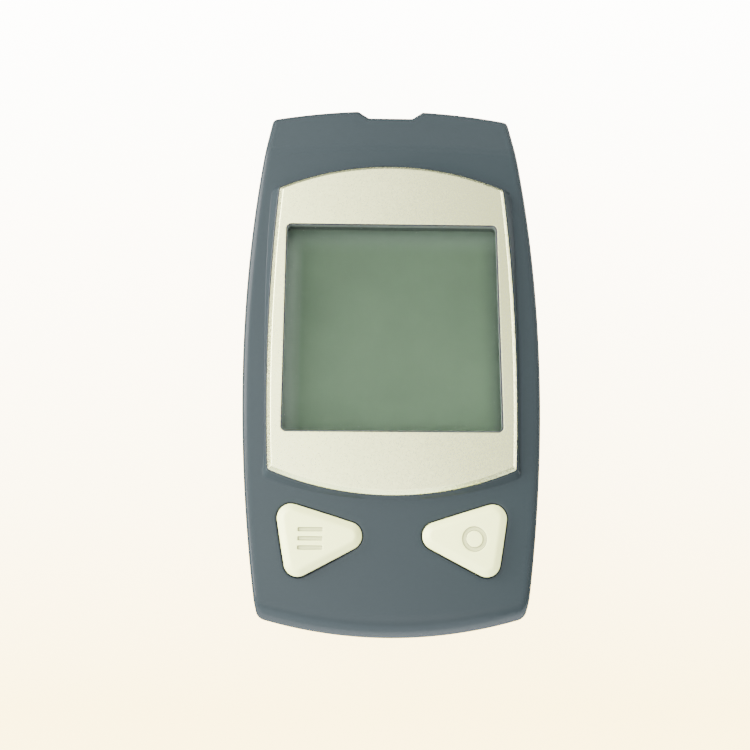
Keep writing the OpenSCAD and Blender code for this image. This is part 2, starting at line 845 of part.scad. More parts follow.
// The plunger under a button, which the button pushes into its switch
module plunger() {
    peg([button_x, button_y], plunger_r, board_z + switch_floor + button_travel + plunger_lift, flange_z);
}

module left_plunger() {
    color("#3a3d40") mirror([1, 0, 0]) plunger();
}

module right_plunger() {
    color("#3a3d40") plunger();
}

// The switch on the board that takes the plunger
module switch_body() {
    difference() {
        translate([button_x, button_y, board_z + switch_h / 2])
            cube([switch_s, switch_s, switch_h], center = true);
        peg([button_x, button_y], plunger_r + plunger_gap, board_z + switch_floor, board_z + switch_h + cut);
    }
}

module left_switch() {
    color("#9aa0a4") mirror([1, 0, 0]) switch_body();
}

module right_switch() {
    color("#9aa0a4") switch_body();
}

// A cell along Y with its cap towards +Y, from y0
module cell(y0) {
    cap_r = 1.9;
    cap_h = 1.2;
    translate([0, y0, cell_z]) rotate([-90, 0, 0]) {
        cylinder(r = cell_d / 2, h = cell_l - cap_h, $fn = 96);
        cylinder(r = cap_r, h = cell_l, $fn = 48);
    }
}

module left_cell() {
    color("#6d7479") translate([-cell_x, 0, 0]) cell(bay_y1 - cell_l);
}

module right_cell() {
    color("#6d7479") translate([cell_x, 0, 0]) mirror([0, 1, 0]) cell(-bay_y0 - contact_t - cell_l);
}

// A battery spring along Y, from its wide foot at y0 to its narrow end, as a wire wound by steps
module battery_spring(y0, way) {
    turns = 3;
    steps = 16;
    sides = 8;
    wire_r = 0.25;
    sunk = 0.1;
    foot_r = cell_d * 0.31;
    tip_r = cell_d * 0.175;
    n = turns * steps;
    rings = [
        for (i = [0:n])
            let (t = i / n, a = 360 * turns * t, r = foot_r + (tip_r - foot_r) * t,
                 y = wire_r - sunk + t * (spring_l - 2 * wire_r))
            for (j = [0:sides - 1])
                let (b = 360 * j / sides)
                [(r + wire_r * cos(b)) * cos(a), y0 + way * (y + wire_r * sin(b)),
                 cell_z + (r + wire_r * cos(b)) * sin(a)]
    ];
    tube = [
        for (i = [0:n - 1], j = [0:sides - 1])
            let (k = (j + 1) % sides)
            [i * sides + j, i * sides + k, (i + 1) * sides + k, (i + 1) * sides + j]
    ];
    start = [for (j = [sides - 1:-1:0]) j];
    end = [for (j = [0:sides - 1]) n * sides + j];
    faces = concat([start], tube, [end]);
    polyhedron(rings, way < 0 ? faces : [for (f = faces) [for (i = [len(f) - 1:-1:0]) f[i]]]);
}

// A contact plate at a cell, standing in the bay with a tab up to the board
module contact_plate(y0) {
    translate([-plate_w / 2, y0, door_z + plate_gap])
        cube([plate_w, contact_t, bay_top - door_z - 2 * plate_gap]);
    translate([-tab_w / 2, y0, door_z + plate_gap]) cube([tab_w, contact_t, board_z0 - door_z - plate_gap]);
}

module positive_contact() {
    color("#c3c6c8") translate([-cell_x, 0, 0]) contact_plate(bay_y1);
}

module negative_contact() {
    color("#c3c6c8") translate([cell_x, 0, 0]) {
        contact_plate(bay_y1);
        battery_spring(bay_y1, -1);
    }
}

module bridge_contact() {
    color("#c3c6c8") {
        translate([-cell_x - plate_w / 2, bay_y0, door_z + plate_gap])
            cube([2 * cell_x + plate_w, contact_t, bay_top - door_z - 2 * plate_gap]);
        translate([-cell_x, 0, 0]) battery_spring(bay_y0 + contact_t, 1);
    }
}

// A screw with its head down and a cross in the head
module screw(at, r, head, z0, h, l) {
    difference() {
        union() {
            peg(at, head, z0, z0 + h);
            peg(at, r, z0 + h, z0 + h + l);
        }
        for (a = [0, 90]) translate([at[0], at[1], z0]) rotate(a)
            cube([1.3 * head, 0.3 * head, h], center = true);
    }
}

module case_screws() {
    color("#8f9498") for (p = screws) screw(p, screw_r, head_r, head_z, head_h, screw_l);
}

module board_screws() {
    color("#8f9498") for (p = board_screws_at)
        screw(p, board_screw_r, board_head_r, board_z0 - board_head_h, board_head_h, board_screw_l);
}

front_shell();
rear_shell();
battery_door();
front_panel();
display_lens();
display_gasket();
display_glass();
display_holder();
display_connector();
circuit_board();
controller_chip();
memory_chip();
timing_crystal();
capacitors();
buzzer();
strip_connector();
strip_contacts();
left_button();
right_button();
left_plunger();
right_plunger();
left_switch();
right_switch();
left_cell();
right_cell();
positive_contact();
negative_contact();
bridge_contact();
case_screws();
board_screws();
rear_label();
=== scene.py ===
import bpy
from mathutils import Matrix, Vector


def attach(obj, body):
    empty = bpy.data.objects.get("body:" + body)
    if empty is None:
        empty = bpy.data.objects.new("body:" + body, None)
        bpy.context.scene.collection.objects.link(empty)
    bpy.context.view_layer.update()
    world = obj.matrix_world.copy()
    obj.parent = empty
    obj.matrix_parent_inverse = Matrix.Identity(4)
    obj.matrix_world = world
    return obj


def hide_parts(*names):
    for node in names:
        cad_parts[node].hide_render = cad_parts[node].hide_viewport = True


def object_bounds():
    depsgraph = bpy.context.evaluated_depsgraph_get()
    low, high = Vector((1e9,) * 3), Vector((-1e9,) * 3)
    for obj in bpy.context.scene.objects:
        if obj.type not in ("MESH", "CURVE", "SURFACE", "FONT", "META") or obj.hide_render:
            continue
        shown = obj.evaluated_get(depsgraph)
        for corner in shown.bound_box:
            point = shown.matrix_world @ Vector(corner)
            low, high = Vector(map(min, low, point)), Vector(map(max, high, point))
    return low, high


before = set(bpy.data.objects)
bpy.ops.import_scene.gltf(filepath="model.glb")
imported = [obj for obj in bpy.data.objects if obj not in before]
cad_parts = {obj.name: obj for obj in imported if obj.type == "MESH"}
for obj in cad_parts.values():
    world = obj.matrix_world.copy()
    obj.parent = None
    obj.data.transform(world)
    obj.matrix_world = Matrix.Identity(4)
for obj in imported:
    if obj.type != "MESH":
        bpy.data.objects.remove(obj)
CAD_BOX = [list(c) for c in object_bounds()]

import math

import bmesh
import bpy
import numpy as np
from mathutils import Matrix, Vector
from mathutils.geometry import delaunay_2d_cdt

# Every length below is in millimetres unless it is named otherwise; meshes are written in metres.
MM = 0.001

# The case: its ends, the four arcs of its outline, the least radius of a corner drawn in, and the finger notch
BODY_W, BODY_L, BODY_H = (round((high - low) / MM, 1) for low, high in zip(*CAD_BOX))
SIDE_R, TOP_R, BOTTOM_R, BELLY_Y = 290.0, 114.0, 78.5, 1.0
TOP_CORNER_R, BOTTOM_CORNER_R, LEAST_R = 1.2, 1.6, 0.3
NOTCH_W, NOTCH_FLOOR_W, NOTCH_D = 12.0, 8.0, 1.65
NOTCH_FOOT_SOFT, NOTCH_LIP_SOFT = 0.14, 0.08
TOP_Y, BOTTOM_Y = BODY_L / 2, -BODY_L / 2
TOP_C = TOP_Y - math.sqrt(TOP_R**2 - (NOTCH_W / 2) ** 2)
BOTTOM_C = BOTTOM_Y + BOTTOM_R
NOTCH_FLOOR_Y = TOP_Y - NOTCH_D
SPLIT_Z, SPLIT_EDGE, WALL, ROOF = 8.5, 0.12, 1.6, 1.6
SLOT_W, SLOT_H, SLOT_Z = 7.8, 1.6, 10.7

# The front surface: a crown, a fall towards the top end with a shallow crease under it, and a rounded chin at
# the bottom end
CROWN_Z, CROWN_Y, CROWN_RX, CROWN_RY = 19.0, -4.0, 500.0, 600.0
TOP_EDGE_Z, TOP_SLOPE = 15.1, math.radians(14.5)
CHIN_R, CHIN_IN, CHIN_Z, CHIN_START = 7.5, 6.7, 10.9, math.radians(27)
CREASE_D, CREASE_W = 0.06, 0.09
FALL_SOFT, CHIN_SOFT = 0.05, 0.22

# The front panel with its window, each DOWN below the end above it, and the seat that the panel lies in
PANEL_W, PANEL_L, PANEL_DOWN, PANEL_BELLY = 42.2, 58.5, 13.85, 0.43
PANEL_SIDE_R, PANEL_TOP_R, PANEL_BOTTOM_R, PANEL_CORNER_R = 347.0, 48.0, 52.0, 0.7
PANEL_TOP_Y = TOP_Y - PANEL_DOWN
PANEL_BOTTOM_Y = PANEL_TOP_Y - PANEL_L
PANEL_BELLY_Y = PANEL_BOTTOM_Y + PANEL_L * PANEL_BELLY
PANEL_Z, PANEL_BEVEL, PANEL_BEVEL_H, PANEL_GAP = 18.2, 0.75, 0.7, 0.05
BEVEL_FOOT_SOFT, BEVEL_TOP_SOFT, PANEL_BACK_EDGE = 0.12, 0.06, 0.1
SEAT_RIM, SEAT_Z = 0.14, 19.25
WINDOW_W, WINDOW_L, WINDOW_R, WINDOW_DOWN = 36.8, 36.7, 0.9, 11.4
WINDOW_Y = PANEL_TOP_Y - WINDOW_DOWN - WINDOW_L / 2
WINDOW_EDGE_R, LENS_EDGE_R = 0.1, 0.15
LENS_Z, LENS_GAP, FLANGE_W, FLANGE_T, FLANGE_GAP = 19.88, 0.1, 1.4, 0.6, 0.15
PORT_W, LEDGE_T = 0.8, 1.1
# The window's inked faces: those steeper than INK_RISE, and those between its back and its front
INK_RISE, INK_ABOVE, INK_BELOW = 0.2, 0.1, 0.005

# The buttons, their middles DOWN below the panel and their tops UP from the crown
BUTTON_X, BUTTON_DOWN, BUTTON_UP = 12.15, 7.1, 1.15
BUTTON_Y = PANEL_BOTTOM_Y - BUTTON_DOWN
BUTTON_TALL, BUTTON_REACH, BUTTON_LEAN, BUTTON_R = 7.1, 8.7, 1.3, 2.25
BUTTON_EDGE, BUTTON_EDGE_H, BUTTON_GAP = 1.1, 0.8, 0.13
BUTTON_FLANGE, BUTTON_FLANGE_T, FLANGE_Z = 0.7, 0.8, 15.1
BUTTON_TOP_Z = CROWN_Z + BUTTON_UP - BUTTON_X**2 / (2 * CROWN_RX) - (BUTTON_Y - CROWN_Y) ** 2 / (2 * CROWN_RY)
DOME, DOME_X, BUTTON_BOW = 0.003, BUTTON_X + 0.4, 0.02
BUTTON_FOOT_SOFT, BUTTON_TOP_SOFT = 0.16, 0.34

# The marks sunk into the buttons: depth, size, place, lip and draft, then the ring's width and the bars' half
# height and spacing as shares of the size, and the round of a bar's corner
MARK_D, MARK_S, MARK_X, MARK_Y = 0.3, 4.0, BUTTON_X + 1.1, BUTTON_Y + 0.2
MARK_LIP, MARK_DRAFT = 0.1, 0.12
RING_W, BAR_HALF, BAR_STEP, BAR_R = 0.17, 0.08, 0.36, 0.16

# Steps of the nets inside filled faces, the clear space round a net's point as a share of its step and round a
# given point, and the width of the flat strip beside a rounded edge
FRONT_STEP, PANEL_STEP, ROOF_STEP, KEY_STEP, RING_STEP = 0.62, 2.0, 3.0, 0.5, 0.55
NET_CLEAR, GIVEN_CLEAR, STRIP = 0.55, 0.12, 0.2


# -------- outlines

def arc(c, r, a0, a1, n):
    """n points on a circle: centre plus r times (cos, sin) of n even angles from a0, a1 itself left out."""
    t = a0 + (a1 - a0) * np.arange(n) / n
    return np.stack([c[0] + r * np.cos(t), c[1] + r * np.sin(t)], 1)


def crossing(a, ra, b, rb, turn):
    """Where a circle of radius ra round a meets one of radius rb round b.

    Of the two points, the one on the left of the way from a to b for turn 1, and on the right for turn -1.
    """
    a, b = np.array(a, float), np.array(b, float)
    d = np.hypot(*(b - a))
    u = (b - a) / d
    along = (ra * ra - rb * rb + d * d) / (2 * d)
    return a + along * u + turn * math.sqrt(ra * ra - along * along) * np.array([-u[1], u[0]])


def heading(a, b):
    """The angle of the way from a to b."""
    return math.atan2(b[1] - a[1], b[0] - a[0])


def soft_min(a, b, e):
    """The lower of two values, rounded over where they are within about e of each other."""
    return 0.5 * (a + b - np.sqrt((a - b) ** 2 + e * e))


def soft_pos(u, e):
    """u where it is positive and nothing where it isn't, rounded over about e."""
    return 0.5 * (u + np.sqrt(u * u + e * e))


def ease(t):
    """A smooth step: 3 t squared less 2 t cubed, with t held to 0..1."""
    t = np.clip(t, 0, 1)
    return t**2 * (3 - 2 * t)


def half_barrel(w, yc, rs, y1, r1, y0, r0, c1, c0, inset, counts):
    """The right half of a barrel of four bowed edges drawn in by inset, its top middle point left out.

    Five arcs that touch: the bottom end, its corner, the side, the upper corner and the top end. The side's
    radius is rs and its widest place is at yc. The top end is at y1 with radius r1 and corners c1, the bottom
    end at y0 with r0 and c0, and counts are the points on each arc.
    """
    side, top, bottom = (w / 2 - rs, yc), (0, y1 - r1), (0, y0 + r0)
    q1, q0 = max(c1 - inset, LEAST_R), max(c0 - inset, LEAST_R)
    k1 = crossing(side, rs - inset - q1, top, r1 - inset - q1, 1)
    k0 = crossing(side, rs - inset - q0, bottom, r0 - inset - q0, -1)
    return [
        arc(bottom, r0 - inset, -math.pi / 2, heading(bottom, k0), counts[0]),
        arc(k0, q0, heading(bottom, k0), heading(side, k0), counts[1]),
        arc(side, rs - inset, heading(side, k0), heading(side, k1), counts[2]),
        arc(k1, q1, heading(side, k1), heading(top, k1), counts[3]),
        arc(top, r1 - inset, heading(top, k1), math.pi / 2, counts[4]),
    ]


def mirrored(half, top):
    """A closed loop from its right half, its top point and the half's mirror image."""
    left = half[:0:-1] * (-1, 1)
    return np.concatenate([half, [top], left])


# Places across the top end where the outline is sampled: close together along the notch
NOTCH_X = np.concatenate([np.linspace(7.4, 3.9, 29), np.linspace(3.9, 0, 10)[1:-1]])


def case_loop(inset=0.0):
    """The outline of the case drawn in by inset.

    It is a barrel whose top end is the softened lower of the arc and the notch. The notch is a floor with a
    slope from each end, and an inset moves the slope's foot so that the slope moves in squarely.
    """
    parts = half_barrel(BODY_W, BELLY_Y, SIDE_R, TOP_C + TOP_R, TOP_R, BOTTOM_Y, BOTTOM_R,
                        TOP_CORNER_R, BOTTOM_CORNER_R, inset, (26, 10, 116, 9, 2))
    x = np.concatenate([np.linspace(parts[4][0, 0], NOTCH_X[0], 13)[:-1], NOTCH_X, [0.0]])
    lean = (NOTCH_W - NOTCH_FLOOR_W) / 2
    grow = inset * (math.hypot(lean, NOTCH_D) - lean) / NOTCH_D
    arc_y = TOP_C + np.sqrt((TOP_R - inset) ** 2 - x * x)
    rise = soft_pos(x - NOTCH_FLOOR_W / 2 - grow, NOTCH_FOOT_SOFT) * NOTCH_D / lean
    top = np.stack([x, soft_min(arc_y, NOTCH_FLOOR_Y - inset + rise, NOTCH_LIP_SOFT)], 1)
    return mirrored(np.concatenate(parts[:4] + [top[:-1]]), top[-1])


def panel_loop(out=0.0):
    """The outline of the front panel grown by out."""
    parts = half_barrel(PANEL_W, PANEL_BELLY_Y, PANEL_SIDE_R, PANEL_TOP_Y, PANEL_TOP_R, PANEL_BOTTOM_Y,
                        PANEL_BOTTOM_R, PANEL_CORNER_R, PANEL_CORNER_R, -out, (26, 9, 50, 9, 26))
    return mirrored(np.concatenate(parts), (0, PANEL_TOP_Y + out))


def window_loop(out=0.0, n=9):
    """The outline of the window grown by out: a rectangle with rounded corners, n + 1 points at each."""
    r = WINDOW_R + out
    a, b = (WINDOW_W + 2 * out) / 2 - r, (WINDOW_L + 2 * out) / 2 - r
    turn, step = math.pi / 2, math.pi / 2 / n
    corners = [arc(c, r, (k - 1) * turn, k * turn + step, n + 1)
               for k, c in enumerate([(a, -b), (a, b), (-a, b), (-a, -b)])]
    return np.concatenate(corners) + (0, WINDOW_Y)


def key_loop(out=0.0, left=False, at_lobe=22, at_side=14):
    """A button's outline grown by out: three lobes of one radius joined by sides with the least of a bow.

    A side bows out by 4 BUTTON_BOW s (1 - s), with s from 0 to 1 along it.
    """
    half = BUTTON_REACH / 2
    lobes = np.array([
        (BUTTON_X + half, BUTTON_Y + BUTTON_TALL / 2),
        (BUTTON_X - half - BUTTON_LEAN / 2, BUTTON_Y + BUTTON_LEAN / 2),
        (BUTTON_X + half - BUTTON_LEAN, BUTTON_Y - BUTTON_TALL / 2),
    ])
    r, pts = BUTTON_R + out, []
    away = [heading(lobes[i], lobes[(i + 1) % 3]) - math.pi / 2 for i in range(3)]
    for i in range(3):
        a0, a1 = away[i - 1], away[i]
        while a1 < a0:
            a1 += 2 * math.pi
        pts.append(arc(lobes[i], r, a0, a1, at_lobe))
        nxt, u = lobes[(i + 1) % 3], np.array([math.cos(a1), math.sin(a1)])
        s = np.arange(at_side)[:, None] / at_side
        pts.append(lobes[i] + (r + 4 * BUTTON_BOW * s * (1 - s)) * u + (nxt - lobes[i]) * s)
    loop = np.concatenate(pts)
    return loop[::-1] * (-1, 1) if left else loop


# -------- the front surface

def front_parts(p):
    """Heights of the crown, of the fall towards the top end and of the chin over points p.

    The crown falls by x squared over 2 RX plus (y - Y) squared over 2 RY. The top fall drops evenly with the
    distance from the top arc's centre, and the chin is an arc of radius CHIN_R round the bottom edge.
    """
    x, y = p[..., 0], p[..., 1]
    crown = CROWN_Z - x * x / (2 * CROWN_RX) - (y - CROWN_Y) ** 2 / (2 * CROWN_RY)
    top = TOP_EDGE_Z + (TOP_R - np.hypot(x, y - TOP_C)) * math.tan(TOP_SLOPE)
    out = np.hypot(x, y - BOTTOM_C) - (BOTTOM_R - CHIN_IN)
    start = CHIN_R * math.sin(CHIN_START)
    slope = CHIN_Z + CHIN_R * math.cos(CHIN_START) + (start - out) * math.tan(CHIN_START)
    chin = np.where(out < start, slope, CHIN_Z + np.sqrt(np.maximum(0.01, CHIN_R**2 - out**2)))
    return crown, top, chin


def front_z(p):
    """Height of the front surface: the softened lowest of its parts, with a shallow valley under the top fall.

    The valley is CREASE_D times exp(-(d / CREASE_W) squared), with d the height between crown and fall.
    """
    crown, top, chin = front_parts(p)
    face = soft_min(crown, top, FALL_SOFT) - CREASE_D * np.exp(-(((crown - top) / CREASE_W) ** 2))
    return soft_min(face, chin, CHIN_SOFT)


# For the crease under the top fall and the one above the chin: which part of the front meets the crown there,
# the span of y that it lies in, and the distances of the rows of points beside it
CREASES = ((1, 30.0, TOP_Y - 2, np.linspace(-1.2, 1.2, 9)),
           (2, BOTTOM_Y + 2, -30.0, np.array([-0.6, -0.34, -0.16, 0, 0.16, 0.34, 0.6])))
CREASE_COLUMNS, HALVINGS = 111, 30


def crease_rows():
    """Points in rows along the two creases, so that the valleys keep their shape.

    Each crease is where two parts of the front are of one height, found at each x by halving a span of y.
    """
    x = np.linspace(-BODY_W / 2, BODY_W / 2, CREASE_COLUMNS)
    out = []
    for other, y0, y1, rows in CREASES:
        lo, hi = np.full_like(x, y0), np.full_like(x, y1)
        for _ in range(HALVINGS):
            mid = (lo + hi) / 2
            parts = front_parts(np.stack([x, mid], 1))
            above = (parts[0] < parts[other]) == (other == 1)
            lo, hi = np.where(above, mid, lo), np.where(above, hi, mid)
        out += [np.stack([x, lo + d], 1) for d in rows]
    return np.concatenate(out)


# -------- building skins

def bend(a, b, c, n):
    """n + 1 rows along a curve from a to c that starts and ends along the sides of the corner b.

    Its points are (1 - t) squared a + 2 t (1 - t) b + t squared c, with t from 0 to 1.
    """
    t = (np.arange(n + 1) / n).reshape((-1,) + (1,) * np.ndim(a))
    return (1 - t) ** 2 * a + 2 * t * (1 - t) * b + t * t * c


def lift(loop, z):
    """A flat loop with heights."""
    return np.concatenate([loop, np.broadcast_to(np.asarray(z, float), (len(loop),))[:, None]], 1)


def inside(p, loop):
    """True for points inside a closed loop, by counting the edges to their right."""
    a, b = loop, np.roll(loop, -1, 0)
    hit = np.zeros(len(p), bool)
    for part in np.array_split(np.arange(len(p)), max(1, len(p) // 4000)):
        y, x = p[part, 1][:, None], p[part, 0][:, None]
        spans = (a[:, 1] > y) != (b[:, 1] > y)
        rise = np.where(b[:, 1] == a[:, 1], 1, b[:, 1] - a[:, 1])
        cut = a[:, 0] + (y - a[:, 1]) / rise * (b[:, 0] - a[:, 0])
        hit[part] = (spans & (x < cut)).sum(1) % 2 == 1
    return hit


def between(p, outer, holes):
    """True for points p inside a loop and outside all holes."""
    keep = inside(p, outer)
    for h in holes:
        keep &= ~inside(p, h)
    return keep


def clear(p, marks, r):
    """True for points p that are further than r from all the marks."""
    groups = np.array_split(p, max(1, len(p) // 1500))
    near = [((q[:, None] - marks[None]) ** 2).sum(2).min(1) for q in groups]
    return np.concatenate(near) > r * r


def net(outer, holes, step, given):
    """Points of a three-way net of a step, and given points, inside outer and outside the holes.

    The given points keep a little clear of all edges, and the net keeps clear of the edges and of them.
    """
    lo, hi = outer.min(0), outer.max(0)
    rows = np.arange(lo[1], hi[1], step * math.sqrt(3) / 2)
    cols = np.arange(lo[0], hi[0], step)
    x, y = np.meshgrid(cols, rows)
    x = x + (np.arange(len(rows)) % 2)[:, None] * step / 2
    marks = np.concatenate([outer] + list(holes))
    out = np.zeros((0, 2))
    for p, r in ((given, GIVEN_CLEAR), (np.stack([x.ravel(), y.ravel()], 1), NET_CLEAR * step)):
        p = p[between(p, outer, holes)]
        p = p[clear(p, marks, r)]
        marks, out = np.concatenate([marks, p]), np.concatenate([out, p])
    return out


def placed(name, data):
    """A new object of some data, in the scene."""
    o = bpy.data.objects.new(name, data)
    bpy.context.scene.collection.objects.link(o)
    return o


def dressed(me, name, body, mat, node, sharp):
    """An object of a mesh that takes a solid's place, smooth but for its edges over the sharp angle."""
    me.shade_smooth()
    me.set_sharp_from_angle(angle=math.radians(sharp))
    me.materials.append(mat)
    o = placed(name, me)
    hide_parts(node)
    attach(o, body)
    return o


class Skin:
    """Grids and filled outlines in millimetres, welded into one mesh."""

    def __init__(self):
        self.v, self.f, self.n = [], [], 0

    def add(self, pts, faces):
        """Points and the faces between them, numbered from the first of the points."""
        self.v.append(pts)
        self.f += (np.asarray(faces) + self.n).tolist()
        self.n += len(pts)

    def grid(self, rows, holes=None):
        """Quads between rows of closed loops; holes is a mask of quads left out."""
        rows = np.asarray(rows)
        m, n = rows.shape[:2]
        i = np.arange(m * n).reshape(m, n)
        j = np.roll(i, -1, 1)
        quads = np.stack([i[:-1], j[:-1], j[1:], i[1:]], -1)
        self.add(rows.reshape(-1, 3), quads[~holes] if holes is not None else quads.reshape(-1, 4))

    def fill(self, outer, holes, z, step=0, rows=np.zeros((0, 2))):
        """A filled outline with holes; z is a height or a function of the points, step that of the net inside.

        The corners come back from the filling as rounded numbers, so each is put back where it was given.
        """
        loops = [outer] + list(holes)
        inner = net(outer, holes, step, rows) if step else np.zeros((0, 2))
        edges, k = [], 0
        for loop in loops:
            i = k + np.arange(len(loop))
            edges += np.stack([i, np.roll(i, -1)], 1).tolist()
            k += len(loop)
        p = np.concatenate(loops + [inner])
        given = [Vector(q) for q in p.tolist()]
        points, _, faces, origins, _, _ = delaunay_2d_cdt(given, edges, [], 0, 1e-6)
        flat = np.array([tuple(v) for v in points])
        back = np.array([o[0] if o else -1 for o in origins])
        flat[back >= 0] = p[back[back >= 0]]
        tris = np.array([t for t in faces if len(t) == 3])
        keep = between(flat[tris].mean(1), outer, holes)
        self.add(lift(flat, z(flat) if callable(z) else z), tris[keep])

    def piece(self, name, body, mat, node, sharp=40):
        """The finished object, welded, its faces turned outwards."""
        me = bpy.data.meshes.new(name)
        me.from_pydata((np.concatenate(self.v) * MM).tolist(), [], self.f)
        bm = bmesh.new()
        bm.from_mesh(me)
        bmesh.ops.remove_doubles(bm, verts=bm.verts, dist=2e-6)
        bmesh.ops.recalc_face_normals(bm, faces=bm.faces)
        bm.to_mesh(me)
        bm.free()
        return dressed(me, name, body, mat, node, sharp)


# -------- materials

class Nodes:
    """A short hand for making and joining shader nodes in one tree."""

    def __init__(self, tree):
        self.t = tree

    def wire(self, node, inputs):
        """Each input of a node joined to a socket, or set to a constant."""
        for k, v in inputs.items():
            if isinstance(v, bpy.types.NodeSocket):
                self.t.links.new(v, node.inputs[k])
            else:
                node.inputs[k].default_value = v

    def new(self, kind, inputs=None, **settings):
        """A node of a kind with settings and inputs."""
        n = self.t.nodes.new(kind)
        for k, v in settings.items():
            setattr(n, k, v)
        self.wire(n, inputs or {})
        return n

    def math(self, op, a, b):
        return self.new("ShaderNodeMath", {0: a, 1: b}, operation=op).outputs[0]

    def times(self, a, b):
        return self.math("MULTIPLY", a, b)

    def vector(self, op, a, b):
        return self.new("ShaderNodeVectorMath", {0: a, 1: b}, operation=op).outputs[0]

    def mix(self, fac, a, b):
        """The colour a turned into b by a factor."""
        return self.new("ShaderNodeMix", {0: fac, 6: a, 7: b}, data_type="RGBA").outputs[2]

    def span(self, v, a, b, c=0.0, d=1.0):
        """v from a..b to c..d, held at the ends."""
        return self.new("ShaderNodeMapRange", {0: v, 1: a, 2: b, 3: c, 4: d}).outputs[0]

    def noise(self, where, scale, detail):
        inputs = {"Vector": where, "Scale": scale, "Detail": detail, "Roughness": 0.55}
        return self.new("ShaderNodeTexNoise", inputs).outputs[0]

    def at(self):
        """The place in the object's own space, in metres."""
        return self.new("ShaderNodeTexCoord").outputs["Object"]

    def parts(self, v):
        """The x, y and z of a vector."""
        return self.new("ShaderNodeSeparateXYZ", {0: v}).outputs

    def surface(self, shader):
        """The shader's light on the tree's own output."""
        self.wire(self.t.nodes["Material Output"], {"Surface": shader.outputs[0]})

    def red(self, colour):
        """The first channel of a colour, used as a random value of a cell."""
        return self.new("ShaderNodeSeparateColor", {0: colour}).outputs[0]


# The grain: its coarse noise's scale against the fine one's, the fine one's share of the bump, and the bump's
# depth in metres; and the tone of dust
COARSE_SCALE, FINE_SHARE, GRAIN_DEPTH, DUST_TONE = 0.31, 0.6, 0.00003, (0.75, 0.78, 0.78, 1)


def srgb(r, g, b):
    """A linear colour from its 0 to 255 values on screen."""
    c = np.array([r, g, b]) / 255
    c = np.where(c <= 0.04045, c / 12.92, ((c + 0.055) / 1.055) ** 2.4)
    return tuple(c.tolist()) + (1.0,)


def node_group(name, inputs, outputs):
    """A node group with float inputs of given values and outputs of given kinds.

    It gives back the tree, its short hand, the sockets of the inputs and the node of the outputs.
    """
    g = bpy.data.node_groups.new(name, "ShaderNodeTree")
    for label, value in inputs.items():
        s = g.interface.new_socket(name=label, in_out="INPUT", socket_type="NodeSocketFloat")
        s.default_value = value
    for label, kind in outputs.items():
        g.interface.new_socket(name=label, in_out="OUTPUT", socket_type=kind)
    k = Nodes(g)
    return g, k, k.new("NodeGroupInput").outputs, k.new("NodeGroupOutput")


def make_grain():
    """A group for moulded plastic: a fine bump of two noises, a mask of slow patches and one of tiny dots."""
    kinds = {"Normal": "NodeSocketVector", "Patches": "NodeSocketFloat", "Grain": "NodeSocketFloat"}
    g, k, given, result = node_group("moulded_grain", {"Scale": 5000.0, "Bump": 0.1}, kinds)
    at = k.at()
    fine = k.noise(at, given["Scale"], 2.0)
    coarse = k.noise(at, k.times(given["Scale"], COARSE_SCALE), 2.0)
    both = k.math("ADD", k.times(fine, FINE_SHARE), k.times(coarse, 1 - FINE_SHARE))
    bump = k.new("ShaderNodeBump", {"Strength": given["Bump"], "Distance": GRAIN_DEPTH, "Height": both})
    patches = k.span(k.noise(at, 45.0, 4.0), 0.3, 0.7)
    k.wire(result, {"Normal": bump.outputs[0], "Patches": patches, "Grain": both})
    return g


def make_dust():
    """A group for a few pale specks: the middles of the cells of a Voronoi net whose random value is high."""
    g, k, given, result = node_group("dust_specks", {"Scale": 300.0, "Share": 0.985, "Size": 0.035},
                                     {"Mask": "NodeSocketFloat"})
    cell = k.new("ShaderNodeTexVoronoi", {"Vector": k.at(), "Scale": given["Scale"]}).outputs
    picked = k.math("GREATER_THAN", k.red(cell["Color"]), given["Share"])
    near = k.math("LESS_THAN", cell["Distance"], given["Size"])
    k.wire(result, {"Mask": k.times(picked, near)})
    return g


GRAIN, DUST = make_grain(), make_dust()

# The paint's two slow tones and its brightest flakes, and the dark tone of the bare plastic under it, which is
# painted shade in the gap below the bevel and in the window's opening. That is bare up to BARE_REACH round the
# window from BARE_DROP below the top, and up to BARE_FOOT above the foot of the bevel.
PAINT = ((0.622, 0.64, 0.3, 1), (0.66, 0.674, 0.328, 1), (0.815, 0.817, 0.487, 1))
BARE_SHADE_TONE = (0.05, 0.054, 0.05, 1)
BARE_REACH, BARE_DROP, BARE_FOOT = 0.11, 0.006, 0.03
# The lean of the paint's normals in radians a metre, the tilt of its flakes, and the flakes in a metre
PAINT_CROWN, FLAKE_TILT, FLAKES = 2.4, 0.08, 5200.0
# The display's two slow tones, what a metre towards the buttons adds to their mask, and painted light on its
# left and top edges and painted shade on its right edge: for the left, right and top edges where each starts
# and is full, in from the window's edge, and its tone
DISPLAY_TONES, DISPLAY_LEAN = ((0.039, 0.0525, 0.036, 1), (0.0545, 0.0735, 0.05, 1)), 9.0
DISPLAY_EDGE_LIGHT_AND_SHADE = ((3.2, 0.4, (0.21, 0.235, 0.21, 1)), (3.2, 0.2, (0.03, 0.036, 0.031, 1)),
                 (4.5, 1.0, (0.08, 0.094, 0.082, 1)))
# The painted shade on the buttons: its tones in the sunk marks, at the foot of a button's edge and in the gap
# below it, how far past a mark its square reaches, and the depths between which the painted shade at the foot
# and in the gap comes in
MARK_SHADE_TONE, FOOT_SHADE_TONE, GAP_SHADE_TONE = (0.2, 0.2, 0.11, 1), (0.12, 0.125, 0.11, 1), (0.03, 0.032, 0.03, 1)
MARK_ROUND, FOOT_SHADE_SPAN, GAP_SHADE_SPAN = 0.25, (BUTTON_EDGE_H + 0.04, BUTTON_EDGE_H + 0.16), (1.05, 1.25)
# The window's index of refraction, kept low so that it hardly mirrors the lamps, and its tint
LENS_IOR, LENS_TINT = 1.015, (0.9, 0.94, 0.9, 1)
# The two ends of the cells' sleeves along Y, in metres
SLEEVE = (-0.0385, 0.0045)


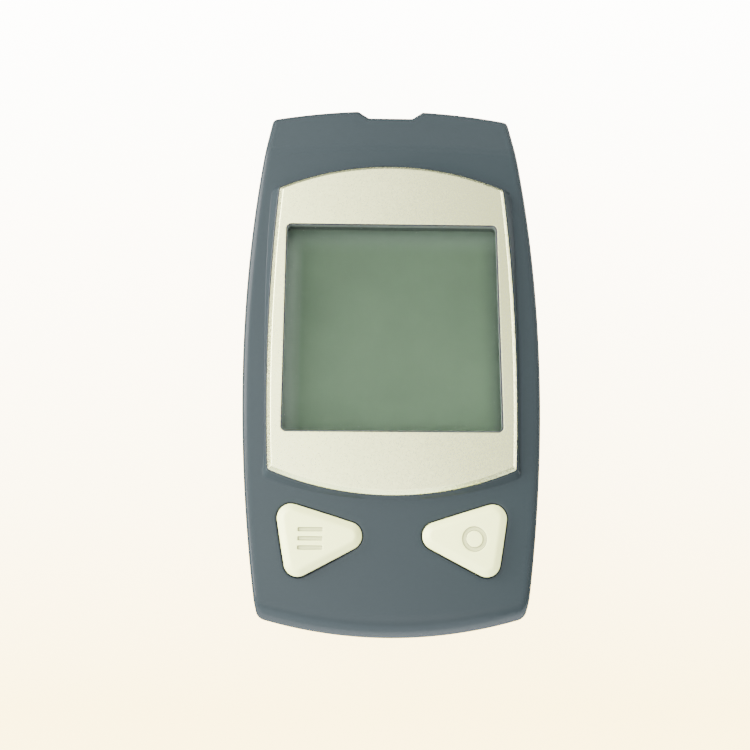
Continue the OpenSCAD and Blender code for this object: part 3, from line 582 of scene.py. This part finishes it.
def material(name):
    """A new material, the short hand for its tree and its shader."""
    m = bpy.data.materials.new(name)
    m.use_nodes = True
    return m, Nodes(m.node_tree), m.node_tree.nodes["Principled BSDF"]


def plastic(name, colour, rough=(0.4, 0.5), shade=0.06, scale=5000.0, bump=0.12, dust=0.0, coat=0.0,
            coat_rough=0.15, specular=0.5, metal=0.0, painted_shade=None):
    """A moulded or plated finish: slow patches and fine grain in colour, roughness and bump, and some dust.

    The last argument, where given, is a function of the tree's short hand and the tone that gives back the
    tone with painted shade in it.
    """
    m, k, bsdf = material(name)
    grain = k.new("ShaderNodeGroup", {"Scale": scale, "Bump": bump}, node_tree=GRAIN).outputs
    dark = tuple(c * (1 - shade) for c in colour[:3]) + (1.0,)
    light = tuple(min(1, c * (1 + shade)) for c in colour[:3]) + (1.0,)
    tone = k.mix(grain["Patches"], dark, light)
    tone = k.mix(k.span(grain["Grain"], 0.35, 0.65), tone, k.mix(0.5, tone, light))
    if dust:
        specks = k.new("ShaderNodeGroup", node_tree=DUST).outputs["Mask"]
        tone = k.mix(k.times(specks, dust), tone, DUST_TONE)
    if painted_shade:
        tone = painted_shade(k, tone)
    k.wire(bsdf, {
        "Base Color": tone, "Roughness": k.span(grain["Patches"], 0, 1, *rough), "Normal": grain["Normal"],
        "Specular IOR Level": specular, "Metallic": metal, "Coat Weight": coat, "Coat Roughness": coat_rough,
    })
    return m


def shaded_marks(k, tone):
    """Painted shade: the tone darkened on the walls of the two sunk marks, a little on their floors, at the
    foot of the button's edge and down in the gap.

    The depth below the button's dome tells walls and floors from the top, in a square round each mark.
    """
    x, y, z = k.parts(k.at())
    across, along, up = k.math("ABSOLUTE", k.times(x, 1 / MM), 0.0), k.times(y, 1 / MM), k.times(z, 1 / MM)
    dx, dy = k.math("SUBTRACT", across, DOME_X), k.math("SUBTRACT", along, BUTTON_Y)
    square = k.math("ADD", k.times(dx, dx), k.times(dy, dy))
    depth = k.math("SUBTRACT", k.math("SUBTRACT", BUTTON_TOP_Z, k.times(square, DOME)), up)
    reach = MARK_S / 2 + MARK_ROUND
    near = 1.0
    for v, middle in ((across, MARK_X), (along, MARK_Y)):
        off = k.math("ABSOLUTE", k.math("SUBTRACT", v, middle), 0.0)
        near = k.times(near, k.math("LESS_THAN", off, reach))
    wall = k.times(k.span(depth, 0.03, 0.12), k.span(depth, MARK_D - 0.01, MARK_D - 0.08))
    floor = k.span(depth, MARK_D - 0.06, MARK_D - 0.01)
    both = k.math("ADD", wall, k.times(floor, 0.5))
    # Painted shade in the marks, then at the foot of the button's edge and down in the gap
    tone = k.mix(k.times(near, both), tone, MARK_SHADE_TONE)
    tone = k.mix(k.span(depth, *FOOT_SHADE_SPAN), tone, FOOT_SHADE_TONE)
    return k.mix(k.span(depth, *GAP_SHADE_SPAN), tone, GAP_SHADE_TONE)


SLATE_TONE = (0.0157, 0.0212, 0.0227)
SLATE = plastic("slate_plastic", SLATE_TONE, (0.42, 0.5), 0.03, 6000.0, 0.12, dust=0.5, coat=0.17,
                coat_rough=0.16, specular=0.02)
SLATE_BACK = plastic("slate_plastic_back", SLATE_TONE, (0.46, 0.56), 0.04, 4000.0, 0.25, dust=0.3, coat=0.17,
                     coat_rough=0.18, specular=0.02)
# The buttons' tone takes painted shade in their sunk marks, at the foot of their edges and down in the gap
IVORY = plastic("ivory_plastic", (0.77, 0.81, 0.31), (0.34, 0.42), 0.01, 4000.0, 0.06, specular=0.6,
                painted_shade=shaded_marks)
GASKET = plastic("dark_foam", (0.04, 0.046, 0.041), (0.7, 0.85), 0.1, 3000.0, 0.4, specular=0.2)
WHITE = plastic("white_plastic", srgb(216, 217, 213), (0.4, 0.5), 0.03)
BLACK = plastic("black_plastic", srgb(44, 45, 48), (0.35, 0.5), 0.1)
PINK = plastic("striped_rubber", srgb(196, 140, 138), (0.6, 0.7), 0.1)
BOARD = plastic("solder_mask", srgb(38, 104, 66), (0.2, 0.3), 0.1, 2500.0, 0.1, coat=0.5)
STEEL = plastic("nickel_plate", srgb(200, 200, 198), (0.22, 0.36), 0.04, 5000.0, 0.08, metal=1.0)
GOLD = plastic("gold_plate", srgb(226, 190, 116), (0.2, 0.3), 0.04, metal=1.0)
CERAMIC = plastic("fired_ceramic", srgb(176, 144, 96), (0.5, 0.6), 0.1)
LABEL = plastic("label_film", srgb(203, 205, 204), (0.3, 0.36), 0.01, 2500.0, 0.05)
LENS_EDGE = plastic("lens_border_ink", (0.1, 0.112, 0.104), (0.5, 0.6), 0.1, specular=0.1)


def make_display():
    """The display: grey-green with slow patches, painted light along its left and top edges and painted shade
    along its right edge, and a few specks of dust.
    """
    m, k, bsdf = material("display_film")
    at = k.at()
    x, y, _ = k.parts(at)
    slow = k.noise(at, 30.0, 3.0)
    patch = k.math("SUBTRACT", slow, k.times(y, DISPLAY_LEAN))
    tone = k.mix(k.span(patch, 0.25, 0.7), *DISPLAY_TONES)
    # Painted light along the left and top edges and painted shade along the right edge
    sides = ((x, -1, WINDOW_W / 2), (x, 1, WINDOW_W / 2), (y, 1, WINDOW_Y + WINDOW_L / 2))
    for (v, sign, line), (start, full, edge) in zip(sides, DISPLAY_EDGE_LIGHT_AND_SHADE):
        side = k.span(v, sign * (line - start) * MM, sign * (line - full) * MM)
        tone = k.mix(k.times(k.math("POWER", side, 1.6), 0.8), tone, edge)
    specks = k.new("ShaderNodeGroup", {"Scale": 180.0, "Share": 0.93, "Size": 0.022}, node_tree=DUST)
    tone = k.mix(k.times(specks.outputs["Mask"], 0.5), tone, (0.4, 0.42, 0.4, 1))
    rough = k.span(slow, 0.3, 0.7, 0.42, 0.5)
    k.wire(bsdf, {"Base Color": tone, "Roughness": rough, "Specular IOR Level": 0.15})
    return m


def make_paint():
    """Metallic paint: a cream base with flakes, each a cell that is tilted and toned at random.

    Its normals lean out a little in step with x, as on a plate with the slightest crown. The paint ends at the
    window's edge and at the foot of the bevel, where the plastic under it shows rough and not metallic; its
    dark tone there is painted shade in the gap and in the opening.
    """
    m, k, bsdf = material("champagne_silver_paint")
    at = k.at()
    x, y, z = k.parts(at)
    # Where the plastic is bare: round the window and below the bevel's foot, its dark tone being painted shade
    wide = k.math("LESS_THAN", k.math("ABSOLUTE", x, 0.0), (WINDOW_W / 2 + BARE_REACH) * MM)
    off = k.math("ABSOLUTE", k.math("SUBTRACT", y, WINDOW_Y * MM), 0.0)
    tall = k.math("LESS_THAN", off, (WINDOW_L / 2 + BARE_REACH) * MM)
    hole = k.times(k.times(wide, tall), k.math("LESS_THAN", z, (BODY_H - BARE_DROP) * MM))
    bare_shade = k.math("MAXIMUM", hole, k.math("LESS_THAN", z, (BODY_H - PANEL_BEVEL_H + BARE_FOOT) * MM))
    flake = k.new("ShaderNodeTexVoronoi", {"Vector": at, "Scale": FLAKES}).outputs["Color"]
    spark = k.red(flake)
    tone = k.mix(k.span(k.noise(at, 40.0, 3.0), 0.35, 0.65), *PAINT[:2])
    tone = k.mix(k.span(spark, 0, 1, 0, 0.2), tone, PAINT[2])
    spread = k.vector("SUBTRACT", flake, (0.5,) * 3)
    tilt = k.vector("MULTIPLY", spread, (FLAKE_TILT,) * 3)
    crown = k.vector("MULTIPLY", at, (PAINT_CROWN, 0, 0))
    face = k.new("ShaderNodeNewGeometry").outputs["Normal"]
    turned = k.vector("ADD", k.vector("ADD", face, crown), tilt)
    k.wire(bsdf, {
        "Base Color": k.mix(bare_shade, tone, BARE_SHADE_TONE),
        "Metallic": k.span(bare_shade, 0, 1, 0.92, 0.0),
        "Roughness": k.math("MAXIMUM", k.span(spark, 0, 1, 0.22, 0.3), k.times(bare_shade, 0.6)),
        "Normal": k.vector("NORMALIZE", turned, (0, 0, 0)),
        "Specular IOR Level": 0.3,
    })
    return m


def make_lens():
    """The clear window: a smooth plate with faint smears, open to light on its way to the display below."""
    m, k, bsdf = material("clear_window")
    smear = k.noise(k.at(), 60.0, 4.0)
    k.wire(bsdf, {
        "Base Color": k.mix(smear, srgb(238, 245, 238), srgb(243, 248, 243)),
        "Roughness": k.span(smear, 0.4, 0.75, 0.02, 0.08), "Transmission Weight": 1.0, "IOR": LENS_IOR,
    })
    clear = k.new("ShaderNodeBsdfTransparent", {"Color": LENS_TINT})
    ray = k.new("ShaderNodeLightPath").outputs
    bounced = k.math("MAXIMUM", ray["Is Glossy Ray"], ray["Is Diffuse Ray"])
    passes = k.math("MAXIMUM", ray["Is Shadow Ray"], bounced)
    k.surface(k.new("ShaderNodeMixShader", {0: passes, 1: bsdf.outputs[0], 2: clear.outputs[0]}))
    return m


def make_cell():
    """A wrapped cell: a dark sleeve with bright steel beyond its two ends, told apart along Y."""
    m, k, bsdf = material("wrapped_cell")
    at = k.at()
    y = k.parts(at)[1]
    sleeve = k.times(k.math("GREATER_THAN", y, SLEEVE[0]), k.math("LESS_THAN", y, SLEEVE[1]))
    wrap = k.mix(k.noise(at, 150.0, 3.0), srgb(84, 96, 108), srgb(96, 108, 120))
    k.wire(bsdf, {
        "Base Color": k.mix(sleeve, srgb(205, 205, 202), wrap),
        "Roughness": k.span(sleeve, 0, 1, 0.25, 0.4), "Metallic": k.span(sleeve, 0, 1, 1.0, 0.0),
    })
    return m


SILVER, DISPLAY, LENS, CELL = make_paint(), make_display(), make_lens(), make_cell()


# -------- the front of the case

# Rounds of the case's rim, of the button openings and of the seat's foot, rim and inner edge; the flat strip
# on the seat's rim, and its least rise
RIM_R, RIM_ROWS, HOLE_EDGE = 1.25, 8, 0.28
SEAT_FOOT, SEAT_RIM_R, SEAT_EDGE_R, SEAT_STRIP, SEAT_RISE = 0.07, 0.16, 0.05, 0.12, 0.15
# The slope's width as shares of its rise: at the sides from SEAT_STEEP, below SEAT_FROM_Y, to SEAT_WIDE,
# SEAT_SPAN_Y further up; at the top end; and at the lower end SEAT_LOWER and SEAT_LOWER_MORE times
# (x / SEAT_LOWER_X) squared
SEAT_STEEP, SEAT_WIDE, SEAT_TOP = 0.3, 0.9, 0.4
SEAT_FROM_Y, SEAT_SPAN_Y = -9.0, 28.0
SEAT_LOWER, SEAT_LOWER_MORE, SEAT_LOWER_X = 0.8, 0.5, 19.0
# How far the outline faces an end where that end's share starts to count, and the span until it is full
TOP_TURN, LOWER_TURN, TURN_SPAN = 0.3, 0.1, 0.5
# Rounds in which the foot is found, and rounds of smoothing in each
FOOT_ROUNDS, SMOOTH_ROUNDS = 8, 24


def seat_slope():
    """Rows of the seat from the surface it stands on, up its slope, over its rim and down into the pocket.

    The slope is as wide as its rise times a share, which grows with y along the sides, is small at the top end
    and grows with x squared at the lower end. The foot is where the slope meets the front.
    """
    rim = PANEL_GAP + SEAT_RIM
    base = panel_loop()
    way = panel_loop(1.0) - base
    upper, lower = ease((way[:, 1] - TOP_TURN) / TURN_SPAN), ease((-way[:, 1] - LOWER_TURN) / TURN_SPAN)
    foot = np.full(len(base), rim + 1.0)
    for _ in range(FOOT_ROUNDS):
        rise = np.maximum(SEAT_RISE, SEAT_Z - front_z(base + way * foot[:, None]))
        share = SEAT_STEEP + (SEAT_WIDE - SEAT_STEEP) * ease((base[:, 1] - SEAT_FROM_Y) / SEAT_SPAN_Y)
        share = share + (SEAT_TOP - share) * upper
        share = share + (SEAT_LOWER + SEAT_LOWER_MORE * (base[:, 0] / SEAT_LOWER_X) ** 2 - share) * lower
        for _ in range(SMOOTH_ROUNDS):
            share = (np.roll(share, 1) + share + np.roll(share, -1)) / 3
        foot = rim + rise * share

    def at(out, z):
        """The panel's outline grown by out, at heights z."""
        return lift(base + way * np.broadcast_to(out, foot.shape)[:, None], z)

    # The slope's length and direction, which the two rounds at its ends go by
    long = rise * np.hypot(1, share)
    out, up = share * rise / long, rise / long
    r, e = np.minimum(SEAT_FOOT, long * 0.45), np.minimum(SEAT_RIM_R, long * 0.4)
    outer = base + way * (foot + r)[:, None]
    corner = at(foot, front_z(base + way * foot[:, None]))
    at_foot = bend(lift(outer, front_z(outer)), corner, at(foot - r * out, corner[:, 2] + r * up), 5)
    at_rim = bend(at(rim + e * out, SEAT_Z - e * up), at(rim, SEAT_Z), at(rim - SEAT_STRIP, SEAT_Z), 4)
    at_lip = bend(at(PANEL_GAP + SEAT_EDGE_R, SEAT_Z), at(PANEL_GAP, SEAT_Z),
                  at(PANEL_GAP, SEAT_Z - SEAT_EDGE_R), 3)
    return outer, np.concatenate([at_foot, at_rim, at_lip, [at(PANEL_GAP, PANEL_Z)]])


def roof_z(p):
    """Height of the inside under the front surface over points p."""
    return np.minimum(front_z(p) - ROOF, PANEL_Z - LEDGE_T)


def make_front():
    """The front casing as one closed shell: rim, front, seat, button openings, inside and strip slot."""
    s = Skin()
    # The outer wall and the rim, from the parting line up
    edge, part, face = case_loop(), case_loop(SPLIT_EDGE), case_loop(RIM_R)
    corner_z, face_z = front_z(edge), front_z(face)
    wall_z = corner_z - RIM_R
    slot = [SLOT_Z - SLOT_H / 2, SLOT_Z + SLOT_H / 2]
    rows = [lift(part, SPLIT_Z), lift(edge, SPLIT_Z + SPLIT_EDGE), lift(edge, slot[0]), lift(edge, slot[1]),
            lift(edge, slot[1] + (wall_z - slot[1]) * 0.5)]
    for i, z in enumerate(bend(wall_z, corner_z, face_z, RIM_ROWS)):
        rows.append(lift(case_loop(RIM_R * (i / RIM_ROWS) ** 2), z))
    across = (np.abs(edge[:, 0]) < SLOT_W / 2 + 1e-6) & (edge[:, 1] > 0)
    holes = np.zeros((len(rows) - 1, len(edge)), bool)
    holes[2] = across & np.roll(across, -1)
    s.grid(rows, holes)
    # The wall's inside, with the same slot, and the edges that join the two
    inner = case_loop(WALL)
    heights = (SPLIT_Z, SPLIT_Z + SPLIT_EDGE, slot[0], slot[1], roof_z(inner))
    s.grid([lift(inner, z) for z in heights], holes[:4])
    s.grid([lift(part, SPLIT_Z), lift(inner, SPLIT_Z)])
    ids = np.flatnonzero(across)
    s.grid([np.concatenate([lift(loop[ids], slot[0]), lift(loop[ids[::-1]], slot[1])])
            for loop in (edge, inner)])
    # The front surface with the seat, the pocket's floor and the window's opening in it
    foot, seat = seat_slope()
    wide = [key_loop(BUTTON_GAP + HOLE_EDGE, left) for left in (False, True)]
    snug = [key_loop(BUTTON_GAP, left) for left in (False, True)]
    s.fill(face, [foot] + wide, front_z, FRONT_STEP, crease_rows())
    s.grid(seat)
    port = window_loop(PORT_W)
    s.fill(panel_loop(PANEL_GAP), [port], PANEL_Z)
    s.grid([lift(port, PANEL_Z), lift(port, roof_z(port))])
    # The two openings for the buttons, and the roof inside
    for outer, wall in zip(wide, snug):
        z = front_z(wall)
        turn = bend(lift(outer, front_z(outer)), lift(wall, z), lift(wall, z - HOLE_EDGE), 4)
        s.grid(np.concatenate([turn, [lift(wall, roof_z(wall))]]))
    s.fill(inner, [port] + snug, roof_z, ROOF_STEP)
    s.piece("front_casing", "case", SLATE, "front_shell")


def window_row(out, z):
    """The window's outline grown by out, at a height."""
    return lift(window_loop(out), z)


def panel_row(out, z):
    """The panel's outline grown by out, at a height."""
    return lift(panel_loop(out), z)


def make_panel():
    """The silver panel: a bevelled barrel plate with a window, and a rabbet behind for the window's flange."""
    s = Skin()
    foot_z, steep = BODY_H - PANEL_BEVEL_H, PANEL_BEVEL_H / PANEL_BEVEL
    low, e, edge = BEVEL_FOOT_SOFT, BEVEL_TOP_SOFT, PANEL_BACK_EDGE
    foot = bend(panel_row(0, foot_z - low), panel_row(0, foot_z), panel_row(-low, foot_z + low * steep), 3)
    rim = bend(panel_row(-PANEL_BEVEL + e, BODY_H - e * steep), panel_row(-PANEL_BEVEL, BODY_H),
               panel_row(-PANEL_BEVEL - e, BODY_H), 5)
    near, under = panel_row(-PANEL_BEVEL - e - STRIP, BODY_H), panel_row(-edge, PANEL_Z)
    s.grid(np.concatenate([[under, panel_row(0, PANEL_Z + edge)], foot, rim, [near]]))
    r, wide, ledge = WINDOW_EDGE_R, FLANGE_W + FLANGE_GAP, PANEL_Z + FLANGE_T + LENS_GAP
    ring, back = window_row(r + STRIP, BODY_H), window_row(wide, PANEL_Z)
    turn = bend(window_row(r, BODY_H), window_row(0, BODY_H), window_row(0, BODY_H - r), 3)
    s.grid(np.concatenate([[ring], turn, [window_row(0, ledge), window_row(wide, ledge), back]]))
    s.fill(near[:, :2], [ring[:, :2]], BODY_H, PANEL_STEP)
    s.fill(under[:, :2], [back[:, :2]], PANEL_Z)
    s.piece("silver_panel", "case", SILVER, "front_panel")


def make_window():
    """The clear window: a plate with a softened edge and a wider flange behind the panel, its sides inked."""
    s = Skin()
    out, r, step = -LENS_GAP, LENS_EDGE_R, PANEL_Z + FLANGE_T
    back, face = window_row(FLANGE_W, PANEL_Z), window_row(out - r, LENS_Z)
    turn = bend(window_row(out, LENS_Z - r), window_row(out, LENS_Z), face, 4)
    s.grid(np.concatenate([[back, window_row(FLANGE_W, step), window_row(out, step)], turn]))
    s.fill(face[:, :2], [], LENS_Z)
    s.fill(back[:, :2], [], PANEL_Z)
    o = s.piece("clear_window", "case", LENS, "display_lens")
    o.data.materials.append(LENS_EDGE)
    for p in o.data.polygons:
        on_step = PANEL_Z + INK_ABOVE < p.center.z / MM < LENS_Z - INK_BELOW
        p.material_index = int(abs(p.normal.z) < INK_RISE or on_step)


def mark_loops(left):
    """The sunk mark as closed loops: three bars on the left button, the two circles of a ring on the right."""
    if not left:
        c, r = (MARK_X, MARK_Y), MARK_S / 2
        return [arc(c, r, 0, 2 * math.pi, 72), arc(c, r - MARK_S * RING_W, 0, 2 * math.pi, 56)]
    out = []
    w, h, r = MARK_S / 2, MARK_S * BAR_HALF, BAR_R
    for i in (-1, 0, 1):
        y = MARK_Y + i * MARK_S * BAR_STEP
        bar = [arc((-MARK_X + sx * (w - r), y + sy * (h - r)), r, t * math.pi / 2, (t + 1) * math.pi / 2, 5)
               for sx, sy, t in ((1, 1, 0), (-1, 1, 1), (-1, -1, 2), (1, -1, 3))]
        out.append(np.concatenate(bar))
    return out


def make_key(left):
    """A button: flange, wall, rounded slope, a gently domed top and the mark sunk into it.

    The top falls by DOME times the squared distance from its middle. A loop of the mark is widened away from
    its middle, along x and y for a bar, and the ring's inner circle is narrowed instead.
    """
    s = Skin()
    centre = np.array([-DOME_X if left else DOME_X, BUTTON_Y])

    def dome(p):
        """Height of the domed top over points p."""
        return BUTTON_TOP_Z - DOME * ((p - centre) ** 2).sum(-1)

    def sunk(p):
        """Height of a mark's floor over points p."""
        return dome(p) - MARK_D

    def row(inset, drop):
        """The outline drawn in by inset, at a drop below the top."""
        loop = key_loop(-inset, left)
        return lift(loop, dome(loop) - drop)

    def wider(loop, by):
        """A loop of the mark widened by some width."""
        middle = loop.mean(0)
        way = loop - middle
        if left:
            return middle + way + np.sign(way) * by
        return middle + way * (1 + by / np.hypot(*way.T))[:, None]

    height, width, low, soft = BUTTON_EDGE_H, BUTTON_EDGE, BUTTON_FOOT_SOFT, BUTTON_TOP_SOFT
    steep = height / width
    flange, wall, step = key_loop(BUTTON_FLANGE, left), key_loop(0, left), FLANGE_Z + BUTTON_FLANGE_T
    below = [lift(flange, FLANGE_Z), lift(flange, step), lift(wall, step)]
    foot = bend(row(0, height + low), row(0, height), row(low, height - low * steep), 4)
    rim = bend(row(width - soft, soft * steep), row(width, 0), row(width + soft, 0), 8)
    top = row(width + soft + STRIP, 0)
    s.grid(np.concatenate([below, foot, rim, [top]]))
    marks = mark_loops(left)
    signs = [1, 1, 1] if left else [1, -1]
    lips = [wider(m, sign * MARK_LIP) for m, sign in zip(marks, signs)]
    floors = [wider(m, -sign * MARK_DRAFT) for m, sign in zip(marks, signs)]
    if left:
        s.fill(top[:, :2], lips, dome, KEY_STEP)
        for floor in floors:
            s.fill(floor, [], sunk)
    else:
        s.fill(top[:, :2], [lips[0]], dome, RING_STEP)
        s.fill(lips[1], [], dome, KEY_STEP)
        s.fill(floors[0], [floors[1]], sunk)
    for lip, loop, floor in zip(lips, marks, floors):
        turn = bend(lift(lip, dome(lip)), lift(loop, dome(loop)), lift(loop, dome(loop) - MARK_LIP), 3)
        s.grid(np.concatenate([turn, [lift(floor, sunk(floor))]]))
    s.fill(flange, [], FLANGE_Z)
    name = "left" if left else "right"
    s.piece(name + "_key", name + "_key", IVORY, name + "_button", sharp=50)


make_front()
make_panel()
make_window()
make_key(True)
make_key(False)


# -------- pieces that keep their solid's shape

def cleaned(node, name, body):
    """A copy of a solid's mesh, welded and with flat faces joined, its shading led by its large faces."""
    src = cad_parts[node]
    bm = bmesh.new()
    bm.from_mesh(src.data)
    bm.transform(src.matrix_world)
    bmesh.ops.remove_doubles(bm, verts=bm.verts, dist=1e-6)
    bmesh.ops.dissolve_limit(bm, angle_limit=math.radians(0.6), verts=bm.verts, edges=bm.edges)
    me = bpy.data.meshes.new(name)
    bm.to_mesh(me)
    bm.free()
    o = dressed(me, name, body, SLATE_BACK, node, sharp=30)
    o.modifiers.new("level_faces", "WEIGHTED_NORMAL").keep_sharp = True


cleaned("rear_shell", "rear_casing", "case")
cleaned("battery_door", "sliding_door", "door")

FINISHES = (
    (GASKET, "display_gasket"), (DISPLAY, "display_glass"), (WHITE, "display_holder"),
    (PINK, "display_connector"), (BOARD, "circuit_board"), (CERAMIC, "capacitors"), (GOLD, "strip_contacts"),
    (LABEL, "rear_label"), (CELL, "left_cell right_cell"),
    (BLACK, "controller_chip memory_chip buzzer strip_connector left_plunger right_plunger"),
    (STEEL, "timing_crystal left_switch right_switch positive_contact negative_contact bridge_contact"),
    (STEEL, "case_screws board_screws"),
)
for finish, nodes in FINISHES:
    for node in nodes.split():
        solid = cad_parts[node]
        for slot in solid.material_slots:
            slot.material = finish
        if not solid.material_slots:
            solid.data.materials.append(finish)


# -------- floor, light and camera

# The surround for all rays but the camera's: its brightness above on the left and on the right, the share left
# low down, and its tint. Left and right are told by x + WORLD_TURN y of the ray's direction, over WORLD_SIDE,
# and low down by z, over WORLD_RISE. The camera sees the backdrop instead.
WORLD_LEFT, WORLD_RIGHT, WORLD_LOW, WORLD_TINT = 6.9, 1.75, 0.12, (0.97, 0.98, 1.0, 1)
WORLD_TURN, WORLD_SIDE, WORLD_RISE = 0.4, (0.32, -0.15), (0.08, 0.55)
BACKDROP, BACKDROP_LIGHT = (1.0, 0.985, 0.965, 1), 9.0
# Each soft lamp: its place, its aim, its width and height in metres, its power in watts and its colour
LAMPS = (
    ("left_lamp", (-0.37, 0.11, 0.13), (0, 0.11, 0.015), 0.56, 0.13, 5.3, (1, 1, 1)),
    ("main_lamp", (-0.42, 0.2, 0.36), (0, 0, 0.015), 0.35, 0.35, 7.0, (0.96, 0.98, 1.0)),
    ("far_lamp", (0.02, 0.5, 0.3), (0, 0, 0.015), 0.5, 0.2, 0.45, (1, 1, 1)),
    ("near_lamp", (-0.05, -0.5, 0.05), (0, 0, 0.015), 0.5, 0.14, 1.15, (0.8, 0.9, 1.0)),
    ("under_lamp", (0.1, -0.1, -0.4), (0, 0, 0), 0.5, 0.5, 19.0, (1, 1, 1)),
)
# What the camera sees of the floor, near and far, with the span of y in metres between the two
FLOOR_NEAR, FLOOR_FAR, FLOOR_SPAN = (8.7, 6.6, 2.1, 1), (14.6, 14.2, 14.0, 1), (-0.06, 0.11)
# For all other rays, the floor's tone and the light of two cards on it, one on the right and one near the
# viewer, with the spans of x and y in metres over which they come in and the near one's tint
FLOOR_TONE, RIGHT_CARD, RIGHT_X, RIGHT_Y = (0.15, 0.15, 0.15, 1), 16.0, (0.1, 0.14), (-0.08, 0.0)
NEAR_CARD, NEAR_Y, NEAR_TINT = 4.8, (-0.05, -0.07), (0.86, 0.94, 1.0, 1)
# The floor's half width and its height, in metres
FLOOR_HALF, FLOOR_Z = 2.0, -0.0002
# The camera: its place in millimetres, the way ahead and to its right, and its focal length as a share of the
# width of its sensor
CAMERA_AT, FOCAL_SHARE, SENSOR_W = (-5.81, -37.62, 156.4), 838.1 / 750, 36.0
CAMERA_AHEAD, CAMERA_RIGHT = (0.0207, 0.2334, -0.9722), (0.9998, 0.0028, 0.022)


def make_stage():
    """A pale floor, white at the far end and a little warmer towards the viewer, lit through for the camera.

    It is clear from below and to the lamp under it, so that the back can be seen.
    """
    corners = [(x * FLOOR_HALF, y * FLOOR_HALF, FLOOR_Z) for x, y in ((-1, -1), (1, -1), (1, 1), (-1, 1))]
    me = bpy.data.meshes.new("floor")
    me.from_pydata(corners, [], [(0, 1, 2, 3)])
    o = placed("floor", me)
    m, k, bsdf = material("pale_floor")
    x, y, _ = k.parts(k.at())
    k.wire(bsdf, {"Base Color": FLOOR_TONE, "Roughness": 0.9, "Specular IOR Level": 0.1})
    right = k.times(k.span(x, *RIGHT_X, 0, RIGHT_CARD), k.span(y, *RIGHT_Y))
    near = k.span(y, *NEAR_Y, 0, NEAR_CARD)
    tint = k.mix(k.math("GREATER_THAN", right, near), NEAR_TINT, (1, 1, 1, 1))
    card = k.new("ShaderNodeEmission", {"Color": tint, "Strength": k.math("MAXIMUM", right, near)})
    glow = k.new("ShaderNodeEmission", {"Color": k.mix(k.span(y, *FLOOR_SPAN), FLOOR_NEAR, FLOOR_FAR)})
    ray = k.new("ShaderNodeLightPath").outputs
    lit = k.new("ShaderNodeMixShader", {0: ray["Is Camera Ray"], 1: card.outputs[0], 2: glow.outputs[0]})
    both = k.new("ShaderNodeAddShader", {0: bsdf.outputs[0], 1: lit.outputs[0]})
    below = k.new("ShaderNodeNewGeometry").outputs["Backfacing"]
    passes = k.math("MAXIMUM", ray["Is Shadow Ray"], below)
    clear = k.new("ShaderNodeBsdfTransparent")
    k.surface(k.new("ShaderNodeMixShader", {0: passes, 1: both.outputs[0], 2: clear.outputs[0]}))
    me.materials.append(m)


def make_light():
    """A pale surround, bright above on the left and dim on the right and low down, and soft lamps.

    The camera sees the surround as an even pale backdrop.
    """
    world = bpy.data.worlds.new("studio")
    bpy.context.scene.world = world
    world.use_nodes = True
    k = Nodes(world.node_tree)
    x, y, z = k.parts(k.new("ShaderNodeTexCoord").outputs["Generated"])
    above = k.span(k.math("ADD", x, k.times(y, WORLD_TURN)), *WORLD_SIDE, WORLD_RIGHT, WORLD_LEFT)
    sky = k.times(above, k.span(z, *WORLD_RISE, WORLD_LOW, 1.0))
    seen = k.new("ShaderNodeLightPath").outputs["Is Camera Ray"]
    tint, strength = k.mix(seen, WORLD_TINT, BACKDROP), k.span(seen, 0, 1, sky, BACKDROP_LIGHT)
    k.wire(world.node_tree.nodes["Background"], {"Color": tint, "Strength": strength})
    for name, place, aim, wide, tall, watts, colour in LAMPS:
        lamp = bpy.data.lights.new(name, "AREA")
        lamp.shape, lamp.size, lamp.size_y, lamp.energy, lamp.color = "RECTANGLE", wide, tall, watts, colour
        o = placed(name, lamp)
        o.location = place
        o.rotation_euler = (Vector(aim) - Vector(place)).to_track_quat("-Z", "Y").to_euler()
        o.visible_camera = False


def make_camera():
    """A camera above the display, leaning a little from the button end."""
    cam = bpy.data.cameras.new("camera")
    cam.sensor_fit, cam.sensor_width, cam.lens = "HORIZONTAL", SENSOR_W, FOCAL_SHARE * SENSOR_W
    cam.clip_start, cam.clip_end = 0.01, 10.0
    o = placed("camera", cam)
    ahead, right = Vector(CAMERA_AHEAD).normalized(), Vector(CAMERA_RIGHT)
    right = (right - ahead * right.dot(ahead)).normalized()
    turn = Matrix((right, right.cross(ahead), -ahead)).transposed().to_4x4()
    o.matrix_world = Matrix.Translation(Vector(CAMERA_AT) * MM) @ turn
    bpy.context.scene.camera = o


make_stage()
make_light()
make_camera()
